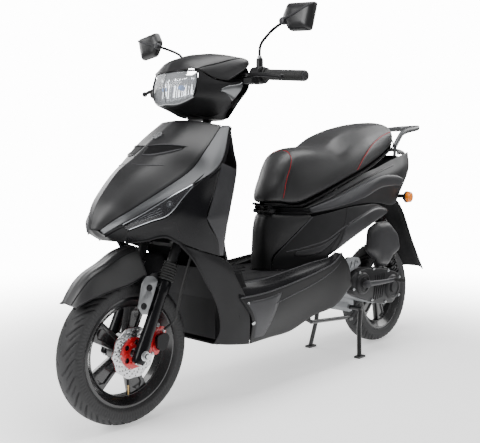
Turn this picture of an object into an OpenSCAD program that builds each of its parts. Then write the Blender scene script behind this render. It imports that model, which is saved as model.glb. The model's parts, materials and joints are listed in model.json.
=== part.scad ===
/* [Wheels] */
// Distance between the two axles
wheelbase = 1364; // [1340:1:1390]
// Outer radius of both tyres
tyre_r = 214; // [212:0.5:216]
// Overall width of both tyres
tyre_w = 92; // [86:1:94]
// Radius of the rim flanges
flange_r = 161; // [160:0.5:162]
// Outer radius of the front brake disc
disc_r = 75; // [70:1:78]

/* [Steering and fork] */
// Angle of the steering axis from upright
rake = 25; // [24:0.5:26]
// Distance of the steering axis behind the fork legs
steer_offset = 20; // [18:1:24]
// Half the distance between the fork legs
leg_y = 75; // [74:0.5:76]
// Radius of the fixed fork tubes
fork_tube_r = 15; // [14:0.5:15]
// Radial gap of every running fit
run_gap = 0.06; // [0.02:0.01:0.09]

/* [Handlebar] */
// Height of the handlebar over the ground
bar_z = 1033; // [1030:1:1036]
// Length of each grip
grip_len = 150; // [130:1:155]
// Downward slope of each grip, in degrees
grip_slope = 7; // [4:0.5:8]

/* [Body] */
// Wall of the covers
shell = 3; // [2:0.25:3.5]
// Top of the floorboard over the ground
floor_z = 392; // [390:1:394]
// Distance of the rearmost point behind the front axle
tail_x = 1700; // [1690:1:1710]

/* [Hidden] */
$fn = 48;

// Heights and places that follow from the driving sizes. x = 0 is the front axle here;
// placed() moves everything so that the origin is under the middle of the scooter.
axle_z = tyre_r;
middle_x = (tail_x - tyre_r) / 2;
bar_x = -steer_offset / cos(rake) - (bar_z - axle_z) * tan(rake);
axle_r = 6;
rear_axle_r = 9;
pivot_x = -905;
pivot_z = 318;
seat_hinge = [-612, 0, 596];

module placed() translate([middle_x, 0, 0]) children();
module both() { children(); mirror([0, 1, 0]) children(); }

// Frame with +Z up the fork legs and its origin at the front axle
module on_fork(forward = 0)
    translate([0, 0, axle_z]) rotate([0, -rake, 0]) translate([forward, 0, 0]) children();

// Cylinder between two points
module rod(a, b, r) {
    d = b - a;
    translate(a)
        rotate([0, acos(d.z / norm(d)), atan2(d.y, d.x)])
            cylinder(r = r, h = norm(d));
}
// Tube run through a list of points, with a ball a little fatter than the tube at each bend
module pipe_run(points, r) {
    for (i = [0:len(points) - 2]) rod(points[i], points[i + 1], r);
    for (p = points) translate(p) sphere(r = r * 1.05, $fn = 24);
}
// Flat plate with its outline in x and z, between two y values
module plate_xz(y0, y1) translate([0, y1, 0]) rotate([90, 0, 0]) linear_extrude(y1 - y0) children();
// Round bar along y
module bar_y(x, z, r, y0, y1) translate([x, y1, z]) rotate([90, 0, 0]) cylinder(r = r, h = y1 - y0);

// Smooth curve through points, k steps to each span
function blend4(a, b, c, d, t) =
    0.5 * (2 * b + (c - a) * t + (2 * a - 5 * b + 4 * c - d) * t * t
    + (3 * b - a - 3 * c + d) * t * t * t);
function fine_row(r, k) = let (n = len(r) - 1) [
    for (i = [0:n - 1]) for (s = [0:k - 1])
        blend4(i == 0 ? 2 * r[0] - r[1] : r[i - 1], r[i], r[i + 1],
            i == n - 1 ? 2 * r[n] - r[n - 1] : r[i + 2], s / k),
    r[n]];
function turned(g) = [for (j = [0:len(g[0]) - 1]) [for (i = [0:len(g) - 1]) g[i][j]]];
function fine_grid(g, k) = turned([for (c = turned([for (r = g) fine_row(r, k)])) fine_row(c, k)]);
function backward(r) = [for (i = [len(r) - 1:-1:0]) r[i]];
function other_side(p) = [p.x, -p.y, p.z];
// A row from the centre line out, continued to the other side
function full_row(r) = concat([for (i = [len(r) - 1:-1:1]) other_side(r[i])], r);
function grid_normal(g, i, j) = let (
    n = len(g) - 1, m = len(g[0]) - 1,
    du = g[min(i + 1, n)][j] - g[max(i - 1, 0)][j],
    dv = g[i][min(j + 1, m)] - g[i][max(j - 1, 0)],
    c = cross(du, dv)) c / norm(c);

// Curved cover through a grid of points. Its wall grows to the side that cross(row
// direction, column direction) points away from.
module cover(points, t = shell, k = 2, swap = false) {
    g0 = fine_grid(points, k);
    g = swap ? turned(g0) : g0;
    n = len(g);
    m = len(g[0]);
    face = [for (i = [0:n - 1]) for (j = [0:m - 1]) g[i][j]];
    back = [for (i = [0:n - 1]) for (j = [0:m - 1]) g[i][j] - t * grid_normal(g, i, j)];
    o = n * m;
    cells = [for (i = [0:n - 2]) for (j = [0:m - 2]) [i * m + j, i * m + j + 1,
        (i + 1) * m + j + 1, (i + 1) * m + j]];
    rim = concat([for (j = [0:m - 1]) j], [for (i = [1:n - 1]) i * m + m - 1],
        [for (j = [m - 2:-1:0]) (n - 1) * m + j], [for (i = [n - 2:-1:1]) i * m]);
    polyhedron(concat(face, back), concat(
        [for (c = cells) for (f = [[c[0], c[1], c[2]], [c[0], c[2], c[3]]]) f],
        [for (c = cells) for (f = [[c[2], c[1], c[0]], [c[3], c[2], c[0]]])
            [for (v = f) v + o]],
        [for (e = [0:len(rim) - 1]) let (a = rim[e], b = rim[(e + 1) % len(rim)])
            for (f = [[b, a, a + o], [b, a + o, b + o]]) f]));
}

// Closed body through rings of equal count, one at each station from front to rear
module loft(rings) {
    n = len(rings);
    m = len(rings[0]);
    polyhedron([for (r = rings) for (p = r) p], concat(
        [[for (j = [m - 1:-1:0]) j]],
        [[for (j = [0:m - 1]) (n - 1) * m + j]],
        [for (i = [0:n - 2]) for (j = [0:m - 1]) let (
            a = i * m + j, b = i * m + (j + 1) % m)
            for (f = [[a, b + m, a + m], [a, b, b + m]]) f]));
}
// Squarish ring at one x, from z0 to z1 and w to each side
function ring(x, z0, z1, w, p = 0.6, n = 16) = [for (i = [0:n - 1]) let (
    a = 360 * i / n, c = cos(a), s = sin(a))
    [x, w * sign(c) * pow(abs(c), p), (z0 + z1) / 2 + (z1 - z0) / 2 * sign(s) * pow(abs(s), p)]];

// --- Front body: rows run from the beak upward or from front to rear, left side only ---
NOSE = [
    [[112, 0, 574], [108, 14, 573], [99, 28, 572]],
    [[101, 0, 618], [94, 30, 608], [78, 55, 597]],
    [[77, 0, 662], [67, 48, 649], [43, 90, 627]],
    [[18, 0, 731], [3, 66, 712], [-34, 125, 678]],
    [[-40, 0, 772], [-60, 78, 762], [-125, 150, 737]],
    [[-120, 0, 834], [-130, 84, 824], [-177, 158, 795]],
    [[-202, 0, 890], [-210, 74, 886], [-262, 140, 872]]];
TRIM = [
    [[99, 28, 571], [98, 34, 566], [97, 40, 561]],
    [[78, 56, 596], [75, 70, 593], [71, 82, 589]],
    [[43, 91, 626], [37, 105, 622], [29, 116, 618]],
    [[-34, 126, 677], [-24, 139, 664], [-17, 146, 651]],
    [[-125, 151, 736], [-121, 174, 719], [-114, 190, 703]],
    [[-177, 159, 794], [-184, 187, 777], [-192, 208, 759]],
    [[-262, 141, 871], [-270, 149, 871], [-280, 157, 871]]];
INDICATOR = [
    [[70, 83, 588], [62, 87, 580], [52, 90, 571]],
    [[28, 116, 617], [19, 125, 606], [6, 131, 594]],
    [[-18, 147, 650], [-24, 156, 631], [-33, 161, 611]],
    [[-62, 167, 677], [-65, 175, 667], [-70, 181, 656]],
    [[-105, 188, 700], [-104, 190, 697], [-103, 192, 694]]];
LEG_PANEL = [
    [[51, 90, 569], [50, 85, 562], [47, 78, 553], [43, 70, 544], [39, 62, 536]],
    [[6, 131, 592], [4, 124, 582], [1, 114, 568], [-4, 102, 554], [-8, 90, 541]],
    [[-33, 161, 609], [-38, 159, 596], [-43, 152, 580], [-47, 140, 566], [-51, 126, 552]],
    [[-70, 182, 655], [-76, 185, 628], [-80, 182, 598], [-84, 169, 560], [-86, 152, 531]],
    [[-103, 193, 692], [-106, 203, 652], [-108, 206, 603], [-122, 196, 552], [-140, 176, 508]],
    [[-193, 209, 757], [-160, 215, 678], [-125, 218, 603], [-180, 206, 535], [-204, 188, 487]]];
RIM_FACET = [
    [[-194, 209, 757], [-208, 220, 750], [-228, 234, 738]],
    [[-160, 215, 677], [-188, 224, 679], [-222, 232, 681]],
    [[-126, 218, 602], [-166, 222, 606], [-207, 225, 608]],
    [[-180, 206, 536], [-196, 205, 528], [-212, 202, 520]],
    [[-204, 189, 488], [-212, 188, 487], [-222, 187, 486]]];
SHIELD_INNER = [
    [[-356, 0, 872], [-350, 60, 872], [-326, 110, 872], [-286, 155, 870]],
    [[-352, 0, 800], [-346, 76, 800], [-314, 136, 796], [-256, 200, 790]],
    [[-350, 0, 735], [-344, 88, 735], [-308, 152, 735], [-234, 231, 735]],
    [[-354, 0, 610], [-346, 70, 610], [-304, 128, 610], [-212, 222, 608]],
    [[-366, 0, 510], [-356, 60, 510], [-306, 106, 510], [-220, 192, 512]],
    [[-396, 0, 398], [-386, 60, 398], [-342, 108, 398], [-280, 170, 398]]];
LOWER_COWL = [
    [[-86, 151, 528], [-140, 175, 505], [-205, 188, 484], [-252, 191, 457]],
    [[-129, 165, 475], [-180, 182, 464], [-226, 190, 446], [-268, 191, 425]],
    [[-193, 160, 385], [-230, 176, 388], [-262, 186, 390], [-291, 190, 391]],
    [[-236, 150, 318], [-268, 170, 326], [-297, 181, 334], [-324, 188, 341]],
    [[-265, 130, 249], [-295, 152, 258], [-321, 168, 267], [-347, 180, 276]],
    [[-262, 106, 200], [-300, 124, 194], [-338, 138, 190], [-376, 150, 187]]];
SKIRT = [
    [[-280, 172, 394], [-292, 190, 350], [-350, 186, 276], [-379, 150, 187]],
    [[-420, 165, 390], [-406, 190, 352], [-440, 184, 272], [-470, 150, 190]],
    [[-569, 160, 405], [-534, 188, 365], [-560, 180, 288], [-583, 152, 194]],
    [[-686, 155, 417], [-679, 182, 385], [-690, 176, 308], [-700, 162, 230]],
    [[-781, 160, 426], [-796, 176, 408], [-815, 172, 338], [-830, 165, 248]],
    [[-820, 168, 444], [-852, 174, 440], [-900, 174, 386], [-932, 166, 310]]];

// --- Rear body: rows from front to rear ---
SEAT_FRONT = [
    [[-612, 0, 586], [-618, 30, 586], [-658, 64, 586], [-730, 104, 586]],
    [[-602, 0, 570], [-608, 30, 570], [-652, 72, 570], [-738, 119, 573]],
    [[-590, 0, 530], [-596, 30, 530], [-634, 66, 530], [-698, 97, 531]],
    [[-585, 0, 478], [-590, 28, 478], [-612, 52, 478], [-646, 71, 478]],
    [[-583, 0, 437], [-587, 24, 437], [-596, 40, 437], [-607, 50, 438]],
    [[-583, 0, 390], [-586, 22, 390], [-592, 36, 390], [-603, 47, 390]]];
BODY_SIDE = [
    [[-742, 122, 574], [-702, 100, 529], [-650, 74, 476], [-612, 54, 432], [-607, 50, 392]],
    [[-780, 141, 582], [-752, 130, 530], [-716, 112, 472], [-676, 88, 427], [-655, 76, 392]],
    [[-822, 156, 590], [-810, 154, 536], [-788, 146, 478], [-758, 133, 428], [-734, 119, 396]],
    [[-893, 168, 602], [-882, 170, 552], [-862, 169, 510], [-838, 162, 468], [-815, 155, 438]],
    [[-1000, 166, 608], [-1000, 170, 574], [-990, 171, 542], [-976, 170, 516], [-955, 168, 497]],
    [[-1113, 155, 608], [-1112, 158, 587], [-1104, 160, 564], [-1090, 161, 545], [-1063, 160, 528]],
    [[-1228, 138, 584], [-1226, 141, 580], [-1223, 142, 576], [-1220, 142, 572], [-1216, 141, 568]]];
TAIL = [
    [[-708, 96, 600], [-714, 102, 594], [-722, 108, 588], [-730, 112, 584]],
    [[-823, 132, 652], [-830, 147, 628], [-835, 155, 610], [-840, 156, 600]],
    [[-1026, 138, 723], [-1020, 155, 680], [-1010, 160, 642], [-1005, 158, 614]],
    [[-1150, 131, 752], [-1150, 150, 715], [-1150, 148, 676], [-1150, 140, 612]],
    [[-1260, 122, 780], [-1262, 140, 730], [-1265, 138, 678], [-1265, 128, 600]],
    [[-1370, 112, 805], [-1372, 125, 740], [-1362, 118, 668], [-1350, 105, 606]],
    [[-1470, 92, 824], [-1465, 100, 750], [-1430, 88, 668], [-1404, 80, 628]]];

// --- Handlebar covers ---
COWL_TOP = [
    [[-170, 0, 1034], [-178, 50, 1036], [-206, 97, 1037], [-252, 119, 1014], [-300, 134, 1008]],
    [[-204, 0, 1073], [-215, 55, 1070], [-243, 100, 1056], [-280, 126, 1030], [-320, 139, 1020]],
    [[-287, 0, 1100], [-300, 60, 1097], [-326, 108, 1086], [-348, 136, 1066], [-362, 144, 1046]],
    [[-350, 0, 1099], [-357, 60, 1095], [-374, 108, 1090], [-382, 136, 1080], [-384, 144, 1066]]];
COWL_SIDE = [
    [[-208, 101, 1031], [-199, 104, 993], [-196, 92, 953], [-176, 40, 930], [-168, 0, 928]],
    [[-254, 121, 1008], [-252, 121, 988], [-240, 102, 950], [-222, 44, 918], [-214, 0, 914]],
    [[-302, 135, 1002], [-300, 134, 990], [-292, 112, 950], [-262, 52, 908], [-236, 0, 906]],
    [[-352, 143, 1008], [-350, 138, 985], [-338, 104, 944], [-310, 66, 906], [-250, 20, 902]]];
DASH = [
    [[-354, 0, 1096], [-360, 60, 1092], [-377, 110, 1087]],
    [[-425, 0, 1062], [-425, 60, 1058], [-418, 108, 1052]],
    [[-432, 0, 1000], [-430, 60, 998], [-420, 108, 1000]],
    [[-412, 0, 935], [-410, 50, 936], [-396, 84, 950]],
    [[-394, 0, 902], [-390, 36, 902], [-376, 62, 904]]];

// --- Fender: rows front to rear, columns from the centre line out ---
FENDER = [
    [[196, 0, 378], [193, 22, 374], [186, 42, 371]],
    [[163, 0, 425], [160, 28, 418], [150, 50, 387]],
    [[130, 0, 454], [128, 30, 446], [119, 53, 394]],
    [[80, 0, 477], [78, 31, 470], [70, 56, 405]],
    [[29, 0, 504], [28, 33, 496], [22, 59, 413]],
    [[-25, 0, 520], [-26, 33, 511], [-40, 60, 436]]];
// Seat stations: x, underside, top, half width
SEAT = [
    [-592, 624, 650, 22], [-600, 624, 668, 36], [-618, 624, 700, 51], [-648, 622, 754, 62],
    [-676, 616, 790, 76], [-706, 616, 809, 94], [-740, 628, 820, 110], [-790, 650, 827, 129],
    [-843, 673, 829, 141], [-890, 692, 838, 148], [-950, 712, 872, 150], [-1020, 731, 898, 145],
    [-1085, 750, 916, 137], [-1160, 773, 931, 124], [-1231, 796, 940, 110], [-1300, 822, 945, 95],
    [-1350, 842, 943, 84], [-1384, 862, 936, 68], [-1400, 880, 924, 50]];
head_s = [372, 560];
clamp_s = [335, 365];
stem_top_s = (bar_z - axle_z + steer_offset * sin(rake)) / cos(rake);
shock_top = [-1235, 88, 575];
shock_eye = [-1385, 88, 262];
shock_len = norm(shock_top - shock_eye);
shock_lean = atan2(shock_top.x - shock_eye.x, shock_top.z - shock_eye.z);
stand_pivot = [-1090, 0, 190];
side_pivot = [-690, 126, 214];
side_axis = [-0.35, 0.94, 0] / norm([-0.35, 0.94, 0]);
kick_pivot = [-1010, 172, 308];
grip_y = 192;
bar_r = 12.5;
pod_y = [150, 188];

module at_shock() translate(shock_top) rotate([0, shock_lean, 0]) children();
module at_grip() translate([bar_x, grip_y, bar_z - 2]) rotate([-90 - grip_slope, 0, 0]) children();

// --- Chassis ---
module main_frame() color("dimgray") placed() difference() {
    union() {
        on_fork(-steer_offset) translate([0, 0, head_s[0]]) cylinder(r = 26, h = head_s[1] - head_s[0]);
        pipe_run([[-262, 0, 640], [-335, 0, 440], [-405, 0, 300]], 19);
        for (s = [-1, 1]) {
            pipe_run([[-405, 0, 300], [-440, s * 95, 236], [-730, s * 95, 236], [-812, s * 95, 330],
                [-870, s * 95, 540], [-1130, s * 90, 650], [-1360, s * 80, 745]], 13);
            plate_xz(s > 0 ? 84 : -94, s > 0 ? 94 : -84) hull() {
                translate([-812, 330]) circle(12);
                translate([pivot_x, pivot_z]) circle(20);
                translate([-850, 470]) circle(10);
            }
        }
        for (p = [[-730, 236], [-870, 540], [-1130, 650]]) bar_y(p.x, p.y, 11, -90, 90);
        bar_y(shock_top.x, shock_top.z, 6, 70, 112);
        plate_xz(70, 75) hull() {
            translate([shock_top.x, shock_top.z]) circle(12);
            translate([-1190, 672]) circle(9);
            translate([-1300, 718]) circle(9);
        }
        bar_y(pivot_x, pivot_z, 8, -100, 100);
    }
    on_fork(-steer_offset) {
        translate([0, 0, head_s[0] - 1]) cylinder(r = 14 + run_gap, h = head_s[1] - head_s[0] + 2);
        translate([0, 0, head_s[0] + 22]) cylinder(r = 19, h = head_s[1] - head_s[0] - 44);
    }
}
module nose_shield() color("#1c1d1f") placed()
    cover(turned([for (r = NOSE) full_row(r)]), k = 2);
module nose_trim() color("#8d9092") placed() both() cover(TRIM, t = 4, swap = true);
module front_indicators() color("#5b5f66") placed() both() cover(INDICATOR, t = 5, swap = true);
module leg_panel_left() color("#1a1b1d") placed() {
    cover(LEG_PANEL, swap = true);
    cover(RIM_FACET, swap = true);
}
module leg_panel_right() color("#1a1b1d") placed() mirror([0, 1, 0]) {
    cover(LEG_PANEL, swap = true);
    cover(RIM_FACET, swap = true);
}
module leg_shield() color("#232427") placed() cover([for (r = SHIELD_INNER) full_row(r)], k = 1);
module wheel_well() color("#141415") placed() {
    plate_xz(-108, 108) polygon([[-248, 435], [-262, 340], [-266, 215], [-271, 215], [-267, 340],
        [-253, 435]]);
    translate([-600, -94, 196]) cube([330, 188, 5]);
}
module lower_cowl() cover(LOWER_COWL);
module lower_cowl_left() color("#3f4144") placed() lower_cowl();
module lower_cowl_right() color("#3f4144") placed() mirror([0, 1, 0]) lower_cowl();
module side_skirt_left() color("#26272a") placed() cover(SKIRT, swap = true);
module side_skirt_right() color("#26272a") placed() mirror([0, 1, 0]) cover(SKIRT, swap = true);
FLOOR = [[-294, 0], [-294, 150], [-600, 150], [-690, 146], [-768, 142], [-736, 126], [-672, 94],
    [-624, 66], [-600, 52], [-576, 26], [-574, 0]];
module floorboard() color("#1d1e20") placed() difference() {
    union() {
        translate([0, 0, floor_z - 12]) linear_extrude(8) polygon(concat(FLOOR,
            [for (i = [len(FLOOR) - 2:-1:1]) [FLOOR[i].x, -FLOOR[i].y]]));
        for (i = [0:9], s = [-1, 1])
            translate([-530, s * (28 + 11 * i) - 3, floor_z - 4]) cube([220, 6, 4]);
    }
    translate([-398, -26, floor_z - 30]) cube([110, 52, 40]);
    for (x = [-330, -510], s = [-1, 1])
        translate([x, s * 142, floor_z - 20]) cylinder(r = 3.2, h = 30);
}
module under_seat_cover() color("#1c1d1f") placed()
    cover([for (r = SEAT_FRONT) full_row(r)], k = 1);
module body_side_left() color("#1e1f21") placed() cover(BODY_SIDE, swap = true);
module body_side_right() color("#1e1f21") placed() mirror([0, 1, 0]) cover(BODY_SIDE, swap = true);
module tail_panel_left() color("#202124") placed() cover(TAIL, swap = true);
module tail_panel_right() color("#202124") placed() mirror([0, 1, 0]) cover(TAIL, swap = true);
module tail_lamp() color("darkred") placed() loft([
    ring(-1395, 690, 806, 66), ring(-1440, 684, 812, 72), ring(-1476, 694, 808, 70),
    ring(-1492, 716, 796, 56)]);

// --- Rear parts ---
MUD = [[-1392, 636], [-1440, 618], [-1500, 560], [-1561, 468], [-1620, 390], [-1668, 330],
    [-tail_x, 296]];
module rear_mudguard() color("#151516") placed() {
    cover(turned([for (i = [0:len(MUD) - 1]) let (p = MUD[i], w = 74 - i * 2)
        full_row([[p.x, 0, p.y], [p.x + 1, w * 0.6, p.y - 1], [p.x + 14, w, p.y - 12]])]), t = 4, k = 1);
    translate([-1455, -30, 628]) cube([50, 60, 50]);
}
module rear_indicators() color("orange") placed() both() {
    bar_y(-1392, 634, 9, 74, 118);
    translate([-1396, 118, 630]) rotate([-90, 0, 0]) cylinder(r1 = 14, r2 = 22, h = 10);
    translate([-1396, 128, 630]) rotate([-90, 0, 0]) cylinder(r = 24, h = 26);
}
module grab_rail() color("#55585b") placed() difference() {
    union() {
        both() {
            hull() {
                translate([-1330, 108, 842]) sphere(9, $fn = 24);
                translate([-1395, 104, 900]) sphere(12, $fn = 24);
            }
            hull() {
                translate([-1395, 104, 900]) sphere(12, $fn = 24);
                translate([-1500, 92, 922]) sphere(12, $fn = 24);
            }
            hull() {
                translate([-1500, 92, 922]) sphere(12, $fn = 24);
                translate([-1640, 46, 940]) sphere(11, $fn = 24);
            }
        }
        hull() both() translate([-1640, 46, 940]) sphere(11, $fn = 24);
        translate([-1560, -78, 921]) cube([70, 156, 9]);
    }
    for (s = [-1, 1]) translate([-1525, s * 40, 900]) cylinder(r = 4.25, h = 50);
}
module helmet_box() color("#2b2c2e") placed() difference() {
    union() {
        translate([-852, -74, 400]) cube([138, 148, 200]);
        translate([-860, -77, 592]) cube([150, 154, 8]);
        for (s = [-1, 1]) plate_xz(s * 38 - 3, s * 38 + 3) hull() {
            translate([seat_hinge.x, seat_hinge.z]) circle(7);
            translate([-716, 592]) square([4, 8]);
        }
        bar_y(seat_hinge.x, seat_hinge.z, 4, -41, 41);
    }
    translate([-848, -70, 404]) cube([130, 140, 240]);
}
module fuel_tank() color("#303133") placed() difference() {
    union() {
        translate([-1330, -68, 668]) cube([270, 136, 60]);
        translate([-1180, 0, 728]) cylinder(r = 26, h = 16);
    }
    translate([-1326, -64, 672]) cube([262, 128, 52]);
    translate([-1180, 0, 710]) cylinder(r = 20, h = 40);
}
module battery() color("#2a2d33") placed() {
    translate([-612, -58, 262]) cube([150, 116, 92]);
    for (y = [-40, 40]) translate([-490, y, 354]) cylinder(r = 6, h = 8);
}

// --- Steering ---
module fork_yoke() color("#2c2d2f") placed() {
    on_fork() {
        difference() {
            union() {
                for (s = [-1, 1]) translate([0, s * leg_y, clamp_s[0]]) cylinder(r = 24, h = 30);
                translate([-steer_offset - 22, -leg_y, clamp_s[0] + 3]) cube([36, 2 * leg_y, 24]);
            }
            for (s = [-1, 1]) translate([0, s * leg_y, clamp_s[0] - 1])
                cylinder(r = fork_tube_r, h = 32);
        }
        for (s = [-1, 1]) translate([0, s * leg_y, 95]) cylinder(r = fork_tube_r, h = 270);
        translate([-steer_offset, 0, clamp_s[1] - 10]) cylinder(r = 14, h = stem_top_s - clamp_s[1]);
    }
}
module handlebar() color("#2f3033") placed() difference() {
    union() {
        bar_y(bar_x, bar_z - 2, bar_r, 3 - grip_y, grip_y - 3);
        both() at_grip() translate([0, 0, -6]) cylinder(r = 11, h = grip_len + 2);
        on_fork(-steer_offset) translate([0, 0, stem_top_s - 34]) cylinder(r = 20, h = 36);
    }
    on_fork(-steer_offset) translate([0, 0, stem_top_s - 80]) cylinder(r = 14, h = 70);
}
module headlamp_unit() color("#c9ccd0") placed() difference() {
    loft([ring(-184, 938, 1027, 52), ring(-196, 936, 1029, 78), ring(-214, 938, 1027, 92),
        ring(-232, 944, 1022, 84)]);
    for (y = [-34, 34]) translate([-224, y, 984]) rotate([0, 90, 0]) cylinder(r = 26, h = 60);
}
module headlamp_lens() color("#dfe6ee") placed() cover(turned([for (r = [
    [[-169, 0, 1030], [-179, 50, 1032], [-207, 94, 1032]],
    [[-156, 0, 990], [-169, 50, 988], [-200, 101, 994]],
    [[-163, 0, 934], [-178, 44, 935], [-197, 90, 954]]]) full_row(r)]), t = 2.5, swap = true);
module bar_cover() color("#27282a") placed() {
    cover(turned([for (r = COWL_TOP) full_row(r)]), k = 1);
    both() cover(COWL_SIDE, k = 1, swap = true);
    cover([for (r = DASH) full_row(r)], k = 1);
}
module left_grip() color("#19191a") placed() at_grip() difference() {
    union() {
        cylinder(r = 16.5, h = grip_len);
        cylinder(r = 21, h = 5);
        translate([0, 0, grip_len]) cylinder(r = 15, h = 7);
    }
    translate([0, 0, -1]) cylinder(r = 11, h = grip_len - 3);
}
module switch_pods() color("#202123") placed() both() difference() {
    union() {
        translate([bar_x, (pod_y[0] + pod_y[1]) / 2, bar_z - 2]) rotate([90, 0, 0])
            cylinder(r = 27, h = pod_y[1] - pod_y[0], center = true);
        translate([bar_x - 4, pod_y[0], bar_z - 34]) cube([62, pod_y[1] - pod_y[0], 44]);
        translate([bar_x + 10, 176, bar_z + 10]) cylinder(r = 11, h = 36);
        translate([bar_x + 10, 176, bar_z + 46]) cylinder(r = 8, h = 8, $fn = 6);
    }
    bar_y(bar_x, bar_z - 2, bar_r, pod_y[0] - 1, pod_y[1] + 1);
    translate([bar_x + 46, 162, bar_z - 50]) cylinder(r = 5 + run_gap, h = 80);
    translate([bar_x + 32, 149, bar_z - 15]) cube([40, 60, 14]);
    translate([bar_x - 40, 168, bar_z + 2]) rotate([0, 90, 0]) cylinder(r = 6.3, h = 24);
    translate([bar_x + 10, 176, bar_z + 30]) cylinder(r = 4.5 + run_gap, h = 60);
}
module starter_button() color("#b0b3b6") placed()
    translate([bar_x - 31, -168, bar_z + 2]) rotate([0, 90, 0]) cylinder(r = 6, h = 12);
module throttle_grip() color("#19191a") placed() mirror([0, 1, 0]) at_grip() difference() {
    union() {
        cylinder(r = 16.5, h = grip_len);
        cylinder(r = 21, h = 5);
        translate([0, 0, grip_len]) cylinder(r = 15, h = 7);
    }
    translate([0, 0, -1]) cylinder(r = 11 + run_gap, h = grip_len - 2);
}
module brake_lever() {
    x = bar_x + 46;
    z = bar_z - 8;
    translate([x, 162, z - 27]) cylinder(r = 5, h = 34);
    difference() {
        hull() {
            translate([x, 162, z - 5]) cylinder(r = 10, h = 9);
            translate([x + 20, 196, z - 6]) cylinder(r = 7, h = 9);
        }
        translate([x, 162, z - 10]) cylinder(r = 5, h = 20);
    }
    hull() {
        translate([x + 20, 196, z - 2]) sphere(6, $fn = 20);
        translate([x + 22, 300, z - 18]) sphere(6, $fn = 20);
    }
    translate([x + 22, 310, z - 20]) sphere(9);
}
module brake_lever_left() color("#242527") placed() brake_lever();
module brake_lever_right() color("#242527") placed() mirror([0, 1, 0]) brake_lever();
module mirror_unit() {
    rod([bar_x + 10, 176, bar_z + 31], [bar_x + 10, 176, bar_z + 86], 4.5);
    pipe_run([[bar_x + 10, 176, bar_z + 86], [bar_x + 9, 190, bar_z + 102], [-383, 238, 1157],
        [-379, 284, 1174]], 4.5);
    hull() {
        translate([-372, 0, 0]) rotate([90, 0, 90]) linear_extrude(4)
            offset(3) polygon([[300, 1221], [391, 1209], [372, 1139], [302, 1147], [280, 1186]]);
        translate([-392, 0, 0]) rotate([90, 0, 90]) linear_extrude(6)
            offset(5) polygon([[300, 1221], [395, 1209], [373, 1138], [302, 1147], [281, 1186]]);
    }
    translate([-395, 0, 0]) rotate([90, 0, 90]) linear_extrude(3)
        polygon([[302, 1218], [391, 1206], [371, 1142], [304, 1150], [286, 1186]]);
}
module mirror_left() color("#1b1c1d") placed() mirror_unit();
module mirror_right() color("#1b1c1d") placed() mirror([0, 1, 0]) mirror_unit();

// --- Fork slider and front wheel ---
module fork_lowers() color("#1f2022") placed() on_fork() for (s = [-1, 1])
    translate([0, s * leg_y, 0]) difference() {
        union() {
            translate([0, 0, -26]) cylinder(r = 20, h = 248);
            for (i = [0:6]) translate([0, 0, 222 + 8 * i]) cylinder(r1 = 24 - i * 0.5, r2 = 20, h = 8);
            if (s > 0) translate([-58, -10, 34]) cube([44, 18, 58]);
        }
        translate([0, 0, 20]) cylinder(r = fork_tube_r + run_gap, h = 280);
        rotate([90, 0, 0]) cylinder(r = axle_r, h = 80, center = true);
    }
module front_fender() color("#2b2c2f") placed() {
    cover(turned([for (r = FENDER) full_row(r)]), k = 2);
    both() plate_xz(54, 59) polygon([[-52, 440], [-66, 440], [-84, 372], [-76, 330], [-44, 330],
        [-30, 372]]);
}
module brake_caliper() color("firebrick") placed() translate([-82, 0, 236]) difference() {
    translate([0, 26, 0]) rotate([-90, 0, 0]) hull() {
        translate([14, 26, 0]) cylinder(r = 16, h = 32);
        translate([-12, -26, 0]) cylinder(r = 16, h = 32);
        translate([10, 0, 0]) cylinder(r = 24, h = 32);
    }
    translate([82, 39, -22]) rotate([-90, 0, 0]) cylinder(r = disc_r + 4, h = 8);
}
HOSE = [[-96, 66, 270], [-104, 102, 300], [-112, 108, 340], [-126, 110, 390], [-146, 110, 440],
    [-166, 110, 490], [-186, 108, 540], [-204, 104, 585]];
module brake_hose() color("#111112") placed() {
    path = fine_row(HOSE, 3);
    n = len(path);
    sides = 8;
    rings = [for (i = [0:n - 1]) let (
        d = path[min(i + 1, n - 1)] - path[max(i - 1, 0)],
        u = cross(d, [1, 0, 0]) / norm(cross(d, [1, 0, 0])),
        v = cross(d, u) / norm(cross(d, u)))
        [for (j = [0:sides - 1]) path[i] + 4 * (cos(360 * j / sides) * u + sin(360 * j / sides) * v)]];
    loft([for (i = [n - 1:-1:0]) rings[i]]);
}
module front_axle() color("silver") placed() {
    bar_y(0, axle_z, axle_r, -108, 108);
    bar_y(0, axle_z, 11, 95.1, 104);
    bar_y(0, axle_z, 11, -104, -95.1);
    bar_y(0, axle_z, 9, 50, 54.8);
    bar_y(0, axle_z, 9, -54.8, -50);
}
// Half outline of a rim, from the axle line out: radius and y
module rim_barrel() rotate([90, 0, 0]) rotate_extrude($fn = 96) polygon([
    [flange_r, 34], [flange_r, 38], [flange_r - 9, 39], [flange_r - 14, 34], [flange_r - 24, 22],
    [flange_r - 31, 14], [flange_r - 31, -14], [flange_r - 24, -22], [flange_r - 14, -34],
    [flange_r - 9, -39], [flange_r, -38], [flange_r, -34], [flange_r - 6, -30],
    [flange_r - 14, -24], [flange_r - 22, -10], [flange_r - 22, 10], [flange_r - 14, 24],
    [flange_r - 6, 30]]);
module spokes() for (i = [0:4]) rotate([0, 72 * i + 36, 0]) difference() {
    plate_xz(-13, 13) polygon([[-25, 20], [25, 20], [33, flange_r - 28], [-33, flange_r - 28]]);
    for (y = [-14, 7]) plate_xz(y, y + 7) polygon([[-6, 46], [6, 46], [17, 118], [-17, 118]]);
}
module front_rim() color("#1b1b1c") placed() translate([0, 0, axle_z]) difference() {
    union() {
        rim_barrel();
        spokes();
        bar_y(0, 0, 52, -18, 18);
        bar_y(0, 0, 36, -40, 40);
    }
    bar_y(0, 0, axle_r + run_gap, -60, 60);
}
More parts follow.
